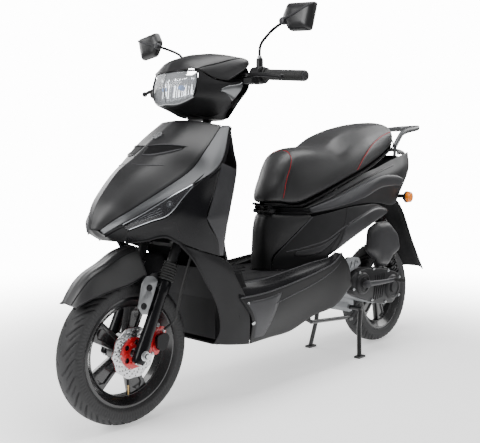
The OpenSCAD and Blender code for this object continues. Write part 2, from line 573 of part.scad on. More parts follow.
module tyre() rotate([90, 0, 0]) rotate_extrude($fn = 96) polygon([
    [flange_r - 22, 9], [flange_r - 13.5, 24], [flange_r - 5.5, 30.5], [flange_r + 0.5, 34],
    [flange_r + 0.5, 38.5], [flange_r + 16, tyre_w / 2 - 1], [flange_r + 28, tyre_w / 2],
    [tyre_r - 16, tyre_w / 2 - 4], [tyre_r - 7, tyre_w / 2 - 14], [tyre_r - 2, 20], [tyre_r, 8],
    [tyre_r, -8], [tyre_r - 2, -20], [tyre_r - 7, 14 - tyre_w / 2], [tyre_r - 16, 4 - tyre_w / 2],
    [flange_r + 28, -tyre_w / 2], [flange_r + 16, 1 - tyre_w / 2], [flange_r + 0.5, -38.5],
    [flange_r + 0.5, -34], [flange_r - 5.5, -30.5], [flange_r - 13.5, -24], [flange_r - 22, -9]]);
module front_tyre() color("#161617") placed() translate([0, 0, axle_z]) tyre();
module brake_disc() color("silver") placed() translate([0, 0, axle_z]) {
    difference() {
        plate_xz(41, 45) polygon([for (a = [0:3:357]) (disc_r - 2 + 2 * cos(10 * a)) * [cos(a), sin(a)]]);
        bar_y(0, 0, 44, 40, 46);
        for (i = [0:19]) rotate([0, 18 * i, 0]) bar_y(0, 58 + 7 * (i % 2), 3.2, 40, 46);
    }
    difference() {
        bar_y(0, 0, 44, 41, 46);
        for (i = [0:4]) rotate([0, 72 * i, 0]) bar_y(0, 33, 9, 40, 47);
        bar_y(0, 0, 14, 40, 47);
    }
}
module seat_base() color("#161617") placed() difference() {
    union() {
        loft([for (s = SEAT) ring(s[0], s[1] - 9, s[1] - 1, s[3] - 6, 0.4)]);
        for (s = [-1, 1]) plate_xz(s * 30 - 3, s * 30 + 3) hull() {
            translate([seat_hinge.x, seat_hinge.z]) circle(7);
            translate([seat_hinge.x - 18, 616]) square([24, 3]);
        }
    }
    bar_y(seat_hinge.x, seat_hinge.z, 4 + run_gap, -60, 60);
}
module seat_cushion() color("#1f1f21") placed() loft([for (s = SEAT) ring(s[0], s[1], s[2], s[3], 0.62)]);

// --- Engine and rear wheel ---
CASE = [[-945, 300], [-955, 335], [-1000, 358], [-1100, 356], [-1209, 338], [-1305, 304],
    [-1330, 270], [-1326, 210], [-1262, 192], [-1121, 212], [-1005, 246], [-960, 268]];
GEARBOX = [[-1290, 310], [-1340, 296], [-1404, 280], [-1408, 196], [-1350, 172], [-1280, 192]];
COVER = [[-948, 300], [-957, 336], [-995, 358], [-1060, 364], [-1209, 344], [-1300, 318],
    [-1314, 243], [-1262, 197], [-1190, 202], [-1121, 216], [-1005, 250], [-960, 270]];
module crankcase() color("#77797b") placed() difference() {
    union() {
        plate_xz(60, 126) offset(6) offset(-6) polygon(CASE);
        plate_xz(60, 71) offset(6) offset(-6) polygon(GEARBOX);
        plate_xz(-64, 60) offset(8) offset(-8) polygon([[-935, 240], [-940, 350], [-1080, 356],
            [-1118, 320], [-1118, 232], [-1060, 215]]);
        bar_y(pivot_x, pivot_z, 20, -80, 80);
        plate_xz(-40, 40) polygon([[pivot_x, pivot_z - 20], [-960, 300], [-960, 345],
            [pivot_x, pivot_z + 20]]);
        plate_xz(-56, 56) polygon([[-1070, 225], [-1110, 240], [-1112, 190], [-1098, 172], [-1078, 172],
            [-1068, 190]]);
        bar_y(shock_eye.x, shock_eye.z, 6, 66, 106);
        bar_y(-wheelbase, axle_z, 36, 48, 62);
        difference() {
            bar_y(-wheelbase, axle_z, 52, 18, 48);
            bar_y(-wheelbase, axle_z, 40, 10, 48);
            translate([-wheelbase - 80, 0, axle_z - 3]) cube([160, 50, 6]);
        }
    }
    bar_y(pivot_x, pivot_z, 8 + run_gap, -90, 90);
    bar_y(stand_pivot.x, stand_pivot.z, 9 + run_gap, -70, 70);
    bar_y(-wheelbase, axle_z, rear_axle_r + run_gap, 16, 130);
}
module cvt_cover() color("#2a2b2d") placed() difference() {
    union() {
        plate_xz(126, 156) offset(8) offset(-8) polygon(COVER);
        for (p = [[-1020, 306, 44], [-1240, 266, 52]]) {
            translate([p.x, 156, p.y]) rotate([-90, 0, 0]) cylinder(r1 = p.z, r2 = p.z - 7, h = 12);
            bar_y(p.x, p.y, p.z * 0.45, 168, 171);
        }
    }
    bar_y(kick_pivot.x, kick_pivot.z, 7 + run_gap, 150, 180);
}
module air_filter() color("#3a3b3d") placed() {
    plate_xz(120, 135) offset(10) offset(-10) polygon([[-1090, 420], [-1102, 510], [-1159, 533],
        [-1250, 533], [-1328, 478], [-1348, 412], [-1280, 384], [-1250, 350], [-1170, 352], [-1150, 384]]);
    plate_xz(135, 152) offset(10) offset(-10) polygon([[-1106, 430], [-1112, 468], [-1160, 486],
        [-1250, 486], [-1316, 462], [-1330, 414], [-1270, 394], [-1150, 402]]);
}
module engine_cylinder() color("#8a8c8e") placed() {
    translate([-934, 0, 248]) rotate([0, 90, 0]) {
        cylinder(r = 34, h = 108);
        for (i = [0:6]) translate([-44, -46, 10 + 11 * i]) cube([84, 92, 5]);
        translate([-42, -44, 84]) cube([80, 88, 36]);
    }
    translate([-1040, -64, 285]) rotate([90, 0, 0]) {
        cylinder(r = 84, h = 46);
        translate([0, 0, 46]) cylinder(r1 = 70, r2 = 58, h = 10);
    }
}
module muffler() color("#4a4b4d") placed() {
    pipe_run([[-842, -20, 196], [-862, -60, 184], [-920, -124, 170], [-1080, -142, 176],
        [-1150, -142, 250]], 13);
    translate([-1150, -142, 262]) rotate([0, -82, 0]) rotate_extrude() polygon([[0, 0], [36, 0],
        [50, 40], [50, 320], [40, 332], [14, 332], [14, 372], [10, 372], [10, 328], [38, 328], [47, 318],
        [47, 42], [34, 6], [0, 6]]);
}
module kick_lever() color("#9a9c9e") placed() {
    bar_y(kick_pivot.x, kick_pivot.z, 7, 152, 196);
    difference() {
        plate_xz(180, 194) hull() {
            translate([kick_pivot.x, kick_pivot.z]) circle(14);
            translate([kick_pivot.x - 190, kick_pivot.z - 4]) circle(9);
        }
        bar_y(kick_pivot.x, kick_pivot.z, 7, 170, 200);
    }
    bar_y(kick_pivot.x - 190, kick_pivot.z - 4, 8, 194, 240);
}
module rear_rim() color("#1b1b1c") placed() translate([-wheelbase, 0, axle_z]) difference() {
    union() {
        rim_barrel();
        spokes();
        bar_y(0, 0, 64, -24, 44);
        bar_y(0, 0, rear_axle_r, -62, 122);
        bar_y(0, 0, 15, -48, -24);
    }
    difference() {
        bar_y(0, 0, 54, 16, 50);
        bar_y(0, 0, rear_axle_r, 0, 60);
    }
}
module rear_tyre() color("#161617") placed() translate([-wheelbase, 0, axle_z]) tyre();
module shock_body() color("#222326") placed() at_shock() {
    difference() {
        union() {
            rotate([90, 0, 0]) cylinder(r = 14, h = 26, center = true);
            translate([0, 0, -40]) cylinder(r = 12, h = 32);
            translate([0, 0, -44]) cylinder(r = 26, h = 5);
        }
        rotate([90, 0, 0]) cylinder(r = 6 + run_gap, h = 30, center = true);
    }
    translate([0, 0, -200]) cylinder(r = 6, h = 158);
}
module shock_rod() color("#3a3b3e") placed() at_shock() translate([0, 0, -shock_len]) difference() {
    union() {
        rotate([90, 0, 0]) cylinder(r = 15, h = 24, center = true);
        translate([0, 0, 10]) cylinder(r = 15, h = 200);
        translate([0, 0, 48]) cylinder(r = 27, h = 5);
    }
    rotate([90, 0, 0]) cylinder(r = 8, h = 30, center = true);
    translate([0, 0, 40]) cylinder(r = 6 + run_gap, h = 180);
}
module centre_stand() color("#18181a") placed() {
    bar_y(stand_pivot.x, stand_pivot.z, 9, -112, 112);
    both() {
        pipe_run([[-1090, 104, 190], [-1078, 106, 110], [-1060, 120, 12]], 9);
        translate([-1084, 108, 0]) cube([44, 26, 8]);
    }
}
module side_stand() color("#18181a") placed() {
    pipe_run([[-690, 144, 214], [-700, 152, 206], [-918, 160, 190]], 7);
    translate([-936, 150, 178]) cube([22, 20, 10]);
    rod(side_pivot - 10 * side_axis, side_pivot + 24 * side_axis, 7);
}
main_frame();
nose_shield();
nose_trim();
front_indicators();
leg_panel_left();
leg_panel_right();
leg_shield();
wheel_well();
lower_cowl_left();
lower_cowl_right();
side_skirt_left();
side_skirt_right();
floorboard();
under_seat_cover();
body_side_left();
body_side_right();
tail_panel_left();
tail_panel_right();
tail_lamp();
rear_mudguard();
rear_indicators();
grab_rail();
helmet_box();
fuel_tank();
battery();
fork_yoke();
handlebar();
headlamp_unit();
headlamp_lens();
bar_cover();
left_grip();
switch_pods();
starter_button();
throttle_grip();
brake_lever_left();
brake_lever_right();
mirror_left();
mirror_right();
fork_lowers();
front_fender();
brake_caliper();
brake_hose();
front_axle();
front_rim();
front_tyre();
brake_disc();
seat_base();
seat_cushion();
crankcase();
cvt_cover();
air_filter();
engine_cylinder();
muffler();
kick_lever();
rear_rim();
rear_tyre();
shock_body();
shock_rod();
centre_stand();
side_stand();
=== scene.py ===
import json
import math

import bmesh
import bpy
import numpy as np
from mathutils import Matrix, Vector
from mathutils.bvhtree import BVHTree


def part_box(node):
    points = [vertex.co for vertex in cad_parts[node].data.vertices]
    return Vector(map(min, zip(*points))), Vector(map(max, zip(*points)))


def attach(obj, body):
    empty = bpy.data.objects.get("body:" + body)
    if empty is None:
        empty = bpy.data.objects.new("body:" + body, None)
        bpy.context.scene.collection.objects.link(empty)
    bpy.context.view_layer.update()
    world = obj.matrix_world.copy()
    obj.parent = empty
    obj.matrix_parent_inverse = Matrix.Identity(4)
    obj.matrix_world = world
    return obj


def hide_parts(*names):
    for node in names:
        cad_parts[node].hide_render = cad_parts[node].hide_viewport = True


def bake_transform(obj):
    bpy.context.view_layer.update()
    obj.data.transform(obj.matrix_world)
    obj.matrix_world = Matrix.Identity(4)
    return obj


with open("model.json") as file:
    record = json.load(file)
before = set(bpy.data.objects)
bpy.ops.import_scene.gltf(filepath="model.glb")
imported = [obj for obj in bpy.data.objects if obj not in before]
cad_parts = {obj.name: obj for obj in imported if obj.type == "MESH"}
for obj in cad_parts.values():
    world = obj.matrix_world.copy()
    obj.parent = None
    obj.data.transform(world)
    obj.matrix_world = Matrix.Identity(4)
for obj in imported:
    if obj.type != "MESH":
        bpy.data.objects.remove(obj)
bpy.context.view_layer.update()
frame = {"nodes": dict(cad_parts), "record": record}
NODES = frame["nodes"]
MM = 0.001
tyre_low, tyre_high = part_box("front_tyre")
AXLE_X = (tyre_low[0] + tyre_high[0]) / 2
AXLE_Z = (tyre_low[2] + tyre_high[2]) / 2 / MM
rear_low, rear_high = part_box("rear_tyre")
REAR_X = ((rear_low[0] + rear_high[0]) / 2 - AXLE_X) / MM
TO_FRAME = Matrix.Translation((AXLE_X, 0, 0)) @ Matrix.Scale(MM, 4)


def at(x, y, z):
    """A point given in mm from the ground under the front axle, in the row frame."""
    return TO_FRAME @ Vector((x, y, z))


# ---------------------------------------------------------------- camera, lights and floor
def studio():
    scene = bpy.context.scene
    cam_data = bpy.data.cameras.new("camera")
    cam_data.sensor_width = 36
    cam_data.lens = 50.08
    cam_data.clip_end = 100
    camera = bpy.data.objects.new("camera", cam_data)
    scene.collection.objects.link(camera)
    camera.location = at(1171.6, 1552.2, 721.9)
    turn, rise = math.radians(132.98), math.radians(3.96)
    look = Vector((-math.sin(turn) * math.cos(rise), math.cos(turn) * math.cos(rise),
                   -math.sin(rise)))
    camera.rotation_euler = look.to_track_quat("-Z", "Y").to_euler()
    scene.camera = camera

    world = bpy.data.worlds.new("studio")
    scene.world = world
    world.use_nodes = True
    tree = world.node_tree
    back = tree.nodes["Background"]
    back.inputs["Color"].default_value = (1, 1, 1, 1)
    back.inputs["Strength"].default_value = 0.22
    bright = tree.nodes.new("ShaderNodeBackground")
    bright.inputs["Color"].default_value = (1, 1, 1, 1)
    bright.inputs["Strength"].default_value = 14.0
    path = tree.nodes.new("ShaderNodeLightPath")
    mix = tree.nodes.new("ShaderNodeMixShader")
    tree.links.new(path.outputs["Is Camera Ray"], mix.inputs[0])
    tree.links.new(back.outputs[0], mix.inputs[1])
    tree.links.new(bright.outputs[0], mix.inputs[2])
    tree.links.new(mix.outputs[0], tree.nodes["World Output"].inputs["Surface"])

    for name, place, aim, size, watts in [
        ("top_soft", (-700, 300, 3200), (-700, 0, 500), (3.2, 1.6), 120),
        ("left_soft", (-1900, 3100, 1900), (-900, 0, 550), (2.2, 1.4), 22),
        ("front_soft", (2900, -500, 2000), (0, 0, 650), (2.0, 2.0), 130),
        ("right_rim", (-400, -3000, 1900), (-600, 0, 700), (2.6, 1.4), 60),
        ("rear_soft", (-3800, 600, 2000), (-1200, 0, 600), (2.0, 1.6), 50),
    ]:
        data = bpy.data.lights.new(name, "AREA")
        data.shape = "RECTANGLE"
        data.size, data.size_y = size
        data.energy = watts
        lamp = bpy.data.objects.new(name, data)
        scene.collection.objects.link(lamp)
        lamp.location = at(*place)
        lamp.rotation_euler = (at(*aim) - lamp.location).to_track_quat("-Z", "Y").to_euler()

    bpy.ops.mesh.primitive_plane_add(size=40, location=(0, 0, -0.0005))
    floor = bpy.context.object
    floor.name = "studio_floor"
    paint_mat = bpy.data.materials.new("floor_paint")
    paint_mat.use_nodes = True
    shader = paint_mat.node_tree.nodes["Principled BSDF"]
    shader.inputs["Base Color"].default_value = (0.93, 0.93, 0.93, 1)
    shader.inputs["Roughness"].default_value = 0.9
    shader.inputs["Emission Color"].default_value = (1, 1, 1, 1)
    shader.inputs["Emission Strength"].default_value = 0.6
    where = paint_mat.node_tree.nodes.new("ShaderNodeTexCoord")
    far = paint_mat.node_tree.nodes.new("ShaderNodeVectorMath")
    far.operation = "LENGTH"
    fade = paint_mat.node_tree.nodes.new("ShaderNodeMapRange")
    fade.interpolation_type = "SMOOTHSTEP"
    fade.inputs["From Min"].default_value = 0.85
    fade.inputs["From Max"].default_value = 3.2
    fade.inputs["To Min"].default_value = 1.0
    fade.inputs["To Max"].default_value = 0.0
    paint_mat.node_tree.links.new(where.outputs["Object"], far.inputs[0])
    paint_mat.node_tree.links.new(far.outputs["Value"], fade.inputs["Value"])
    paint_mat.node_tree.links.new(fade.outputs["Result"], shader.inputs["Alpha"])
    floor.data.materials.append(paint_mat)


# ---------------------------------------------------------------- materials
def material(name, color, rough, metal=0.0, grain=0.0, grain_size=1.5, vary=0.15, spec=0.5,
             coat=0.0, coat_rough=0.1, sheen=0.0, alpha=1.0, wear=0.0, brushed=0.0):
    """Plastic, paint, rubber or metal: colour and gloss vary softly, grain is a fine bump,
    wear lightens the edges and brushed makes the gloss anisotropic."""
    mat = bpy.data.materials.new(name)
    mat.use_nodes = True
    tree = mat.node_tree
    link = tree.links.new
    shader = tree.nodes["Principled BSDF"]
    coords = tree.nodes.new("ShaderNodeTexCoord")
    soft = tree.nodes.new("ShaderNodeTexNoise")
    soft.inputs["Scale"].default_value = 9.0
    soft.inputs["Detail"].default_value = 5.0
    link(coords.outputs["Object"], soft.inputs["Vector"])
    tint = tree.nodes.new("ShaderNodeValToRGB")
    tint.color_ramp.elements[0].position = 0.3
    tint.color_ramp.elements[1].position = 0.7
    tint.color_ramp.elements[0].color = (*[c * (1 - vary) for c in color], 1)
    tint.color_ramp.elements[1].color = (*[min(1.0, c * (1 + vary)) for c in color], 1)
    link(soft.outputs["Fac"], tint.inputs["Fac"])
    base = tint.outputs["Color"]
    if wear > 0:
        shape = tree.nodes.new("ShaderNodeNewGeometry")
        edge = tree.nodes.new("ShaderNodeMapRange")
        edge.inputs["From Min"].default_value = 0.52
        edge.inputs["From Max"].default_value = 0.62
        edge.inputs["To Max"].default_value = wear
        link(shape.outputs["Pointiness"], edge.inputs["Value"])
        rub = tree.nodes.new("ShaderNodeMix")
        rub.data_type = "RGBA"
        rub.inputs["B"].default_value = (*[min(1.0, 0.02 + c * 3.0) for c in color], 1)
        link(edge.outputs["Result"], rub.inputs["Factor"])
        link(base, rub.inputs["A"])
        base = rub.outputs["Result"]
    link(base, shader.inputs["Base Color"])
    gloss = tree.nodes.new("ShaderNodeMapRange")
    gloss.inputs["From Min"].default_value = 0.3
    gloss.inputs["From Max"].default_value = 0.7
    gloss.inputs["To Min"].default_value = rough * 0.88
    gloss.inputs["To Max"].default_value = min(1.0, rough * 1.12)
    link(soft.outputs["Fac"], gloss.inputs["Value"])
    link(gloss.outputs["Result"], shader.inputs["Roughness"])
    if grain > 0:
        fine = tree.nodes.new("ShaderNodeTexNoise")
        fine.inputs["Scale"].default_value = 1000.0 / grain_size
        fine.inputs["Detail"].default_value = 2.0
        link(coords.outputs["Object"], fine.inputs["Vector"])
        bump = tree.nodes.new("ShaderNodeBump")
        bump.inputs["Strength"].default_value = grain
        bump.inputs["Distance"].default_value = grain_size * 0.25 * MM
        link(fine.outputs["Fac"], bump.inputs["Height"])
        link(bump.outputs["Normal"], shader.inputs["Normal"])
    if brushed > 0:
        shader.inputs["Anisotropic"].default_value = brushed
    shader.inputs["Metallic"].default_value = metal
    shader.inputs["Specular IOR Level"].default_value = spec
    shader.inputs["Coat Weight"].default_value = coat
    shader.inputs["Coat Roughness"].default_value = coat_rough
    shader.inputs["Sheen Weight"].default_value = sheen
    shader.inputs["Alpha"].default_value = alpha
    return mat


FINISH = {
    "satin_black": dict(color=(0.010, 0.010, 0.011), rough=0.42, grain=0.05, grain_size=1.2,
                        spec=0.42),
    # painted shade: a darker, duller copy of the satin black, for the skirt panels on the shaded side
    "shaded_skirt_black": dict(color=(0.007, 0.007, 0.0075), rough=0.34, grain=0.05, grain_size=1.2,
                       spec=0.16),
    # painted highlight: a lighter copy of the side black, for the lit patches on the side cover
    "highlight_black": dict(color=(0.024, 0.024, 0.026), rough=0.40, grain=0.05, grain_size=1.2,
                       spec=0.3),
    # a near-black: the colour of the mudguard, liners, seat collar and tail deck, and painted shade in the nose vent
    # and behind the seams
    "near_black_and_shade": dict(color=(0.004, 0.004, 0.0045), rough=0.6, grain=0.1, spec=0.08),
    # light metal trim, and also the painted highlight patch on the headlamp cowl's side
    "light_trim_and_highlight": dict(color=(0.20, 0.205, 0.21), rough=0.34, metal=0.7, grain=0.03),
    "satin_fender": dict(color=(0.022, 0.022, 0.023), rough=0.42, grain=0.05, grain_size=1.2),
    "panel_black": dict(color=(0.012, 0.012, 0.013), rough=0.42, grain=0.06, grain_size=1.2,
                        spec=0.26),
    "gloss_black": dict(color=(0.005, 0.005, 0.006), rough=0.22, grain=0.02, spec=0.18),
    "grain_black": dict(color=(0.010, 0.010, 0.011), rough=0.58, grain=0.35, grain_size=1.6,
                        spec=0.2),
    "cowl_grey": dict(color=(0.014, 0.014, 0.015), rough=0.38, metal=0.2, grain=0.03, spec=0.2),
    # a lighter grey: the colour of small grey parts, and painted highlight on the black body's vent lips, crease
    # lines and raised patches
    "grey_and_highlight": dict(color=(0.040, 0.040, 0.043), rough=0.42, metal=0.2, grain=0.05, spec=0.25),
    "trim_grey": dict(color=(0.055, 0.057, 0.060), rough=0.38, metal=0.5, grain=0.03),
    "rail_grey": dict(color=(0.055, 0.057, 0.06), rough=0.42, metal=0.3, grain=0.05),
    "frame_black": dict(color=(0.012, 0.012, 0.013), rough=0.34, grain=0.06, grain_size=2.5,
                        coat=0.2),
    "rim_black": dict(color=(0.010, 0.010, 0.011), rough=0.27, grain=0.03, coat=0.5),
    "mirror_shell": dict(color=(0.013, 0.013, 0.014), rough=0.36, grain=0.08),
    "grip_rubber": dict(color=(0.012, 0.012, 0.012), rough=0.7, grain=0.3, grain_size=1.4),
    "tyre_rubber": dict(color=(0.018, 0.018, 0.019), rough=0.66, grain=0.3, grain_size=1.8,
                        vary=0.25),
    "cast_alloy": dict(color=(0.30, 0.31, 0.32), rough=0.5, metal=0.85, grain=0.5, grain_size=2.5),
    "disc_steel": dict(color=(0.55, 0.55, 0.56), rough=0.27, metal=1.0, grain=0.06, brushed=0.6),
    "bright_steel": dict(color=(0.50, 0.51, 0.52), rough=0.33, metal=1.0, grain=0.05, brushed=0.4),
    "caliper_red": dict(color=(0.55, 0.008, 0.014), rough=0.32, grain=0.1, coat=0.4),
    "seat_vinyl": dict(color=(0.013, 0.013, 0.014), rough=0.46, grain=0.5, grain_size=1.5),
    "stitch_red": dict(color=(0.45, 0.012, 0.02), rough=0.6, grain=0.3, grain_size=0.8),
    "tank_plastic": dict(color=(0.014, 0.014, 0.015), rough=0.5, grain=0.2, spec=0.25),
    "smoked_lens": dict(color=(0.04, 0.04, 0.045), rough=0.06, coat=1.0, coat_rough=0.03,
                        alpha=0.4),
    "clear_lens": dict(color=(0.85, 0.88, 0.92), rough=0.03, coat=1.0, coat_rough=0.02, alpha=0.16,
                       vary=0.02),
    "mirror_glass": dict(color=(0.75, 0.78, 0.80), rough=0.02, metal=1.0, vary=0.02),
    "red_lens": dict(color=(0.35, 0.006, 0.008), rough=0.12, coat=0.8),
    "amber_lens": dict(color=(0.9, 0.22, 0.01), rough=0.15, coat=0.8),
    "reflector": dict(color=(0.75, 0.78, 0.82), rough=0.12, metal=1.0),
    # painted reflection: a blue for the headlamp bulbs, standing in for a blue glint in the lamp
    "painted_blue_glint": dict(color=(0.10, 0.30, 0.80), rough=0.08, coat=1.0),
    "brass": dict(color=(0.45, 0.30, 0.12), rough=0.35, metal=1.0, grain=0.1),
}
MATERIALS = {name: material(name, **look) for name, look in FINISH.items()}
SLOT_OF_NODE = {s["node"]: s["material_slot"] for s in frame["record"]["subparts"]}


def paint_cad():
    """Gives every CAD node that stays in view its slot's material."""
    for name, obj in NODES.items():
        finish = MATERIALS[SLOT_OF_NODE[name]]
        if not obj.material_slots:
            obj.data.materials.append(finish)
        for holder in obj.material_slots:
            holder.material = finish


# ---------------------------------------------------------------- curves and grids, all in mm
def blend4(a, b, c, d, t):
    return 0.5 * (2 * b + (c - a) * t + (2 * a - 5 * b + 4 * c - d) * t * t
                  + (3 * b - a - 3 * c + d) * t ** 3)


def fine_row(row, k):
    """Smooth curve through points, k steps to each span."""
    row = np.asarray(row, float)
    ends = np.concatenate([[2 * row[0] - row[1]], row, [2 * row[-1] - row[-2]]])
    out = [blend4(*ends[i:i + 4], s / k) for i in range(len(row) - 1) for s in range(k)]
    return np.array(out + [row[-1]])


def fine_grid(grid, k):
    rows = [fine_row(r, k) for r in grid]
    return np.swapaxes([fine_row(c, k) for c in np.swapaxes(rows, 0, 1)], 0, 1)


def flipped(points):
    """The same points on the other side of the scooter."""
    return np.asarray(points, float) * (1, -1, 1)


def full_row(row):
    """A row from the centre line out, continued to the other side."""
    row = np.asarray(row, float)
    return np.concatenate([flipped(row)[:0:-1], row])


class Surface:
    """A smooth surface through a grid, to place details on: u runs over rows, v over columns."""

    def __init__(self, grid, inside, k=10):
        self.g = fine_grid(grid, k)
        self.du = np.gradient(self.g, axis=0)
        self.dv = np.gradient(self.g, axis=1)
        self.n = np.cross(self.du, self.dv)
        self.n /= np.linalg.norm(self.n, axis=2, keepdims=True) + 1e-9
        if np.sum(self.n * (self.g - np.asarray(inside, float))) < 0:
            self.n = -self.n

    def pick(self, table, u, v):
        a, b = u * (self.g.shape[0] - 1), v * (self.g.shape[1] - 1)
        i, j = min(int(a), self.g.shape[0] - 2), min(int(b), self.g.shape[1] - 2)
        s, t = a - i, b - j
        return ((table[i, j] * (1 - t) + table[i, j + 1] * t) * (1 - s)
                + (table[i + 1, j] * (1 - t) + table[i + 1, j + 1] * t) * s)

    def point(self, u, v, lift=0.0):
        return self.pick(self.g, u, v) + lift * self.pick(self.n, u, v)

    def normal(self, u, v):
        return self.pick(self.n, u, v)

    def path(self, uv, lift=0.0, k=6):
        """Points and normals along a smooth path given in u and v."""
        fine = fine_row(uv, k) if len(uv) > 2 else np.linspace(uv[0], uv[1], k + 1)
        fine = np.clip(fine, 0, 1)
        return (np.array([self.point(*p, lift) for p in fine]),
                np.array([self.normal(*p) for p in fine]))


# ---------------------------------------------------------------- mesh building, all in mm
def add_grid(bm, grid, inside):
    """Quads over a grid of points, facing away from the inside point."""
    g = np.asarray(grid, float)
    mid = tuple(s // 2 for s in g.shape[:2])
    a = g[min(mid[0] + 1, g.shape[0] - 1), mid[1]] - g[max(mid[0] - 1, 0), mid[1]]
    b = g[mid[0], min(mid[1] + 1, g.shape[1] - 1)] - g[mid[0], max(mid[1] - 1, 0)]
    out = np.dot(np.cross(a, b), g[mid] - np.asarray(inside, float)) > 0
    verts = [[bm.verts.new(p) for p in row] for row in g]
    for i in range(g.shape[0] - 1):
        for j in range(g.shape[1] - 1):
            quad = [verts[i][j], verts[i + 1][j], verts[i + 1][j + 1], verts[i][j + 1]]
            bm.faces.new(quad if out else quad[::-1])


def signed_power(value, power):
    """The power of a value's size, with the value's sign: the rule of a superellipse."""
    return math.copysign(abs(value) ** power, value)


def around(count):
    """That many equal angles round a circle, starting at 0."""
    return np.linspace(0, 2 * math.pi, count + 1)[:-1]


def add_loft(bm, rings, closed=False, caps=True):
    """A tube of quads through rings of equal count; closed joins the last ring to the first."""
    rows = [[bm.verts.new(p) for p in ring] for ring in rings]
    n, m = len(rows), len(rows[0])
    faces = []
    for i in range(n if closed else n - 1):
        for j in range(m):
            a, b = rows[i], rows[(i + 1) % n]
            faces.append(bm.faces.new([a[j], a[(j + 1) % m], b[(j + 1) % m], b[j]]))
    if caps and not closed:
        faces.append(bm.faces.new(rows[0][::-1]))
        faces.append(bm.faces.new(rows[-1]))
    bmesh.ops.recalc_face_normals(bm, faces=faces)
    return faces


def axes_for(direction):
    d = np.asarray(direction, float)
    d = d / np.linalg.norm(d)
    side = np.cross(d, (0, 0, 1) if abs(d[2]) < 0.9 else (1, 0, 0))
    side /= np.linalg.norm(side)
    return side, np.cross(d, side), d


def add_turned(bm, centre, axis, profile, steps=40, start=0.0):
    """A body of revolution: profile is (radius, distance along the axis), from end to end."""
    u, v, d = axes_for(axis)
    centre = np.asarray(centre, float)
    rings = []
    for r, h in profile:
        turn = [start + 2 * math.pi * i / steps for i in range(steps)]
        r = max(r, 0.02)
        rings.append([centre + d * h + r * (math.cos(a) * u + math.sin(a) * v) for a in turn])
    return add_loft(bm, rings)


def add_bar(bm, a, b, r, r2=None, steps=28, chamfer=0.8):
    """A round bar with chamfered ends."""
    a, b = np.asarray(a, float), np.asarray(b, float)
    length = np.linalg.norm(b - a)
    r2 = r if r2 is None else r2
    c = min(chamfer, r * 0.4, r2 * 0.4, length * 0.3)
    return add_turned(bm, a, b - a, [(r - c, 0), (r, c), (r2, length - c), (r2 - c, length)], steps)


def add_sweep(bm, points, width, height=None, normals=None, steps=12, taper=None, power=1.0):
    """A tube along points; width and height are half sizes, taper scales them along the way."""
    p = np.asarray(points, float)
    height = width if height is None else height
    tangent = np.gradient(p, axis=0)
    tangent /= np.linalg.norm(tangent, axis=1, keepdims=True)
    rings, up = [], None
    for i in range(len(p)):
        if normals is not None:
            up = np.asarray(normals[i], float)
        elif up is None:
            up = axes_for(tangent[0])[0]
        up = up - tangent[i] * np.dot(up, tangent[i])
        up /= np.linalg.norm(up)
        side = np.cross(tangent[i], up)
        scale = 1.0 if taper is None else taper(i / (len(p) - 1))
        ring = []
        for j in range(steps):
            c, s = math.cos(2 * math.pi * j / steps), math.sin(2 * math.pi * j / steps)
            c, s = (math.copysign(abs(w) ** power, w) for w in (c, s))
            ring.append(p[i] + scale * (width * c * side + height * s * up))
        rings.append(ring)
    return add_loft(bm, rings)


def add_plate(bm, outline, y0, y1):
    """A flat plate with its outline in x and z, between two y values."""
    low = [bm.verts.new((x, y0, z)) for x, z in outline]
    high = [bm.verts.new((x, y1, z)) for x, z in outline]
    n = len(outline)
    faces = [bm.faces.new(low), bm.faces.new(high[::-1])]
    faces += [bm.faces.new([low[i], high[i], high[(i + 1) % n],
                            low[(i + 1) % n]]) for i in range(n)]
    bmesh.ops.recalc_face_normals(bm, faces=faces)
    return faces


def add_box(bm, low, high):
    (x0, y0, z0), (x1, y1, z1) = low, high
    return add_plate(bm, [(x0, z0), (x1, z0), (x1, z1), (x0, z1)], y0, y1)


def rounded(outline, r, steps=5):
    """An outline with its corners rounded to about r."""
    p = np.asarray(outline, float)
    out = []
    for i in range(len(p)):
        a, b, c = p[i - 1], p[i], p[(i + 1) % len(p)]
        ab, cb = a - b, c - b
        cut = min(r, np.linalg.norm(ab) * 0.45, np.linalg.norm(cb) * 0.45)
        s, e = b + ab / np.linalg.norm(ab) * cut, b + cb / np.linalg.norm(cb) * cut
        for k in range(steps + 1):
            t = k / steps
            out.append((1 - t) ** 2 * s + 2 * t * (1 - t) * b + t * t * e)
    return np.array(out)


def add_cut_plate(bm, outline, holes, centre, half, bevel=0.4):
    """A plate parallel to the x-z plane with holes, its middle plane at y = centre."""
    curve = bpy.data.curves.new("cut", "CURVE")
    curve.dimensions = "2D"
    curve.fill_mode = "BOTH"
    curve.extrude = half - bevel
    curve.bevel_depth = bevel
    curve.bevel_resolution = 1
    for loop in [outline] + list(holes):
        spline = curve.splines.new("POLY")
        spline.points.add(len(loop) - 1)
        for point, (x, z) in zip(spline.points, loop):
            point.co = (x, z, 0, 1)
        spline.use_cyclic_u = True
    obj = bpy.data.objects.new("cut", curve)
    bpy.context.scene.collection.objects.link(obj)
    mesh = bpy.data.meshes.new_from_object(obj.evaluated_get(bpy.context.evaluated_depsgraph_get()))
    mesh.transform(Matrix(((1, 0, 0, 0), (0, 0, -1, centre), (0, 1, 0, 0), (0, 0, 0, 1))))
    before = len(bm.faces)
    bm.from_mesh(mesh)
    bm.faces.ensure_lookup_table()
    faces = bm.faces[before:]
    bmesh.ops.remove_doubles(bm, verts=list({v for f in faces for v in f.verts}), dist=0.01)
    bpy.data.objects.remove(obj)
    bpy.data.curves.remove(curve)
    bpy.data.meshes.remove(mesh)


def circle(x, z, r, steps=24, start=0.0):
    return [(x + r * math.cos(start + 2 * math.pi * i / steps),
             z + r * math.sin(start + 2 * math.pi * i / steps)) for i in range(steps)]


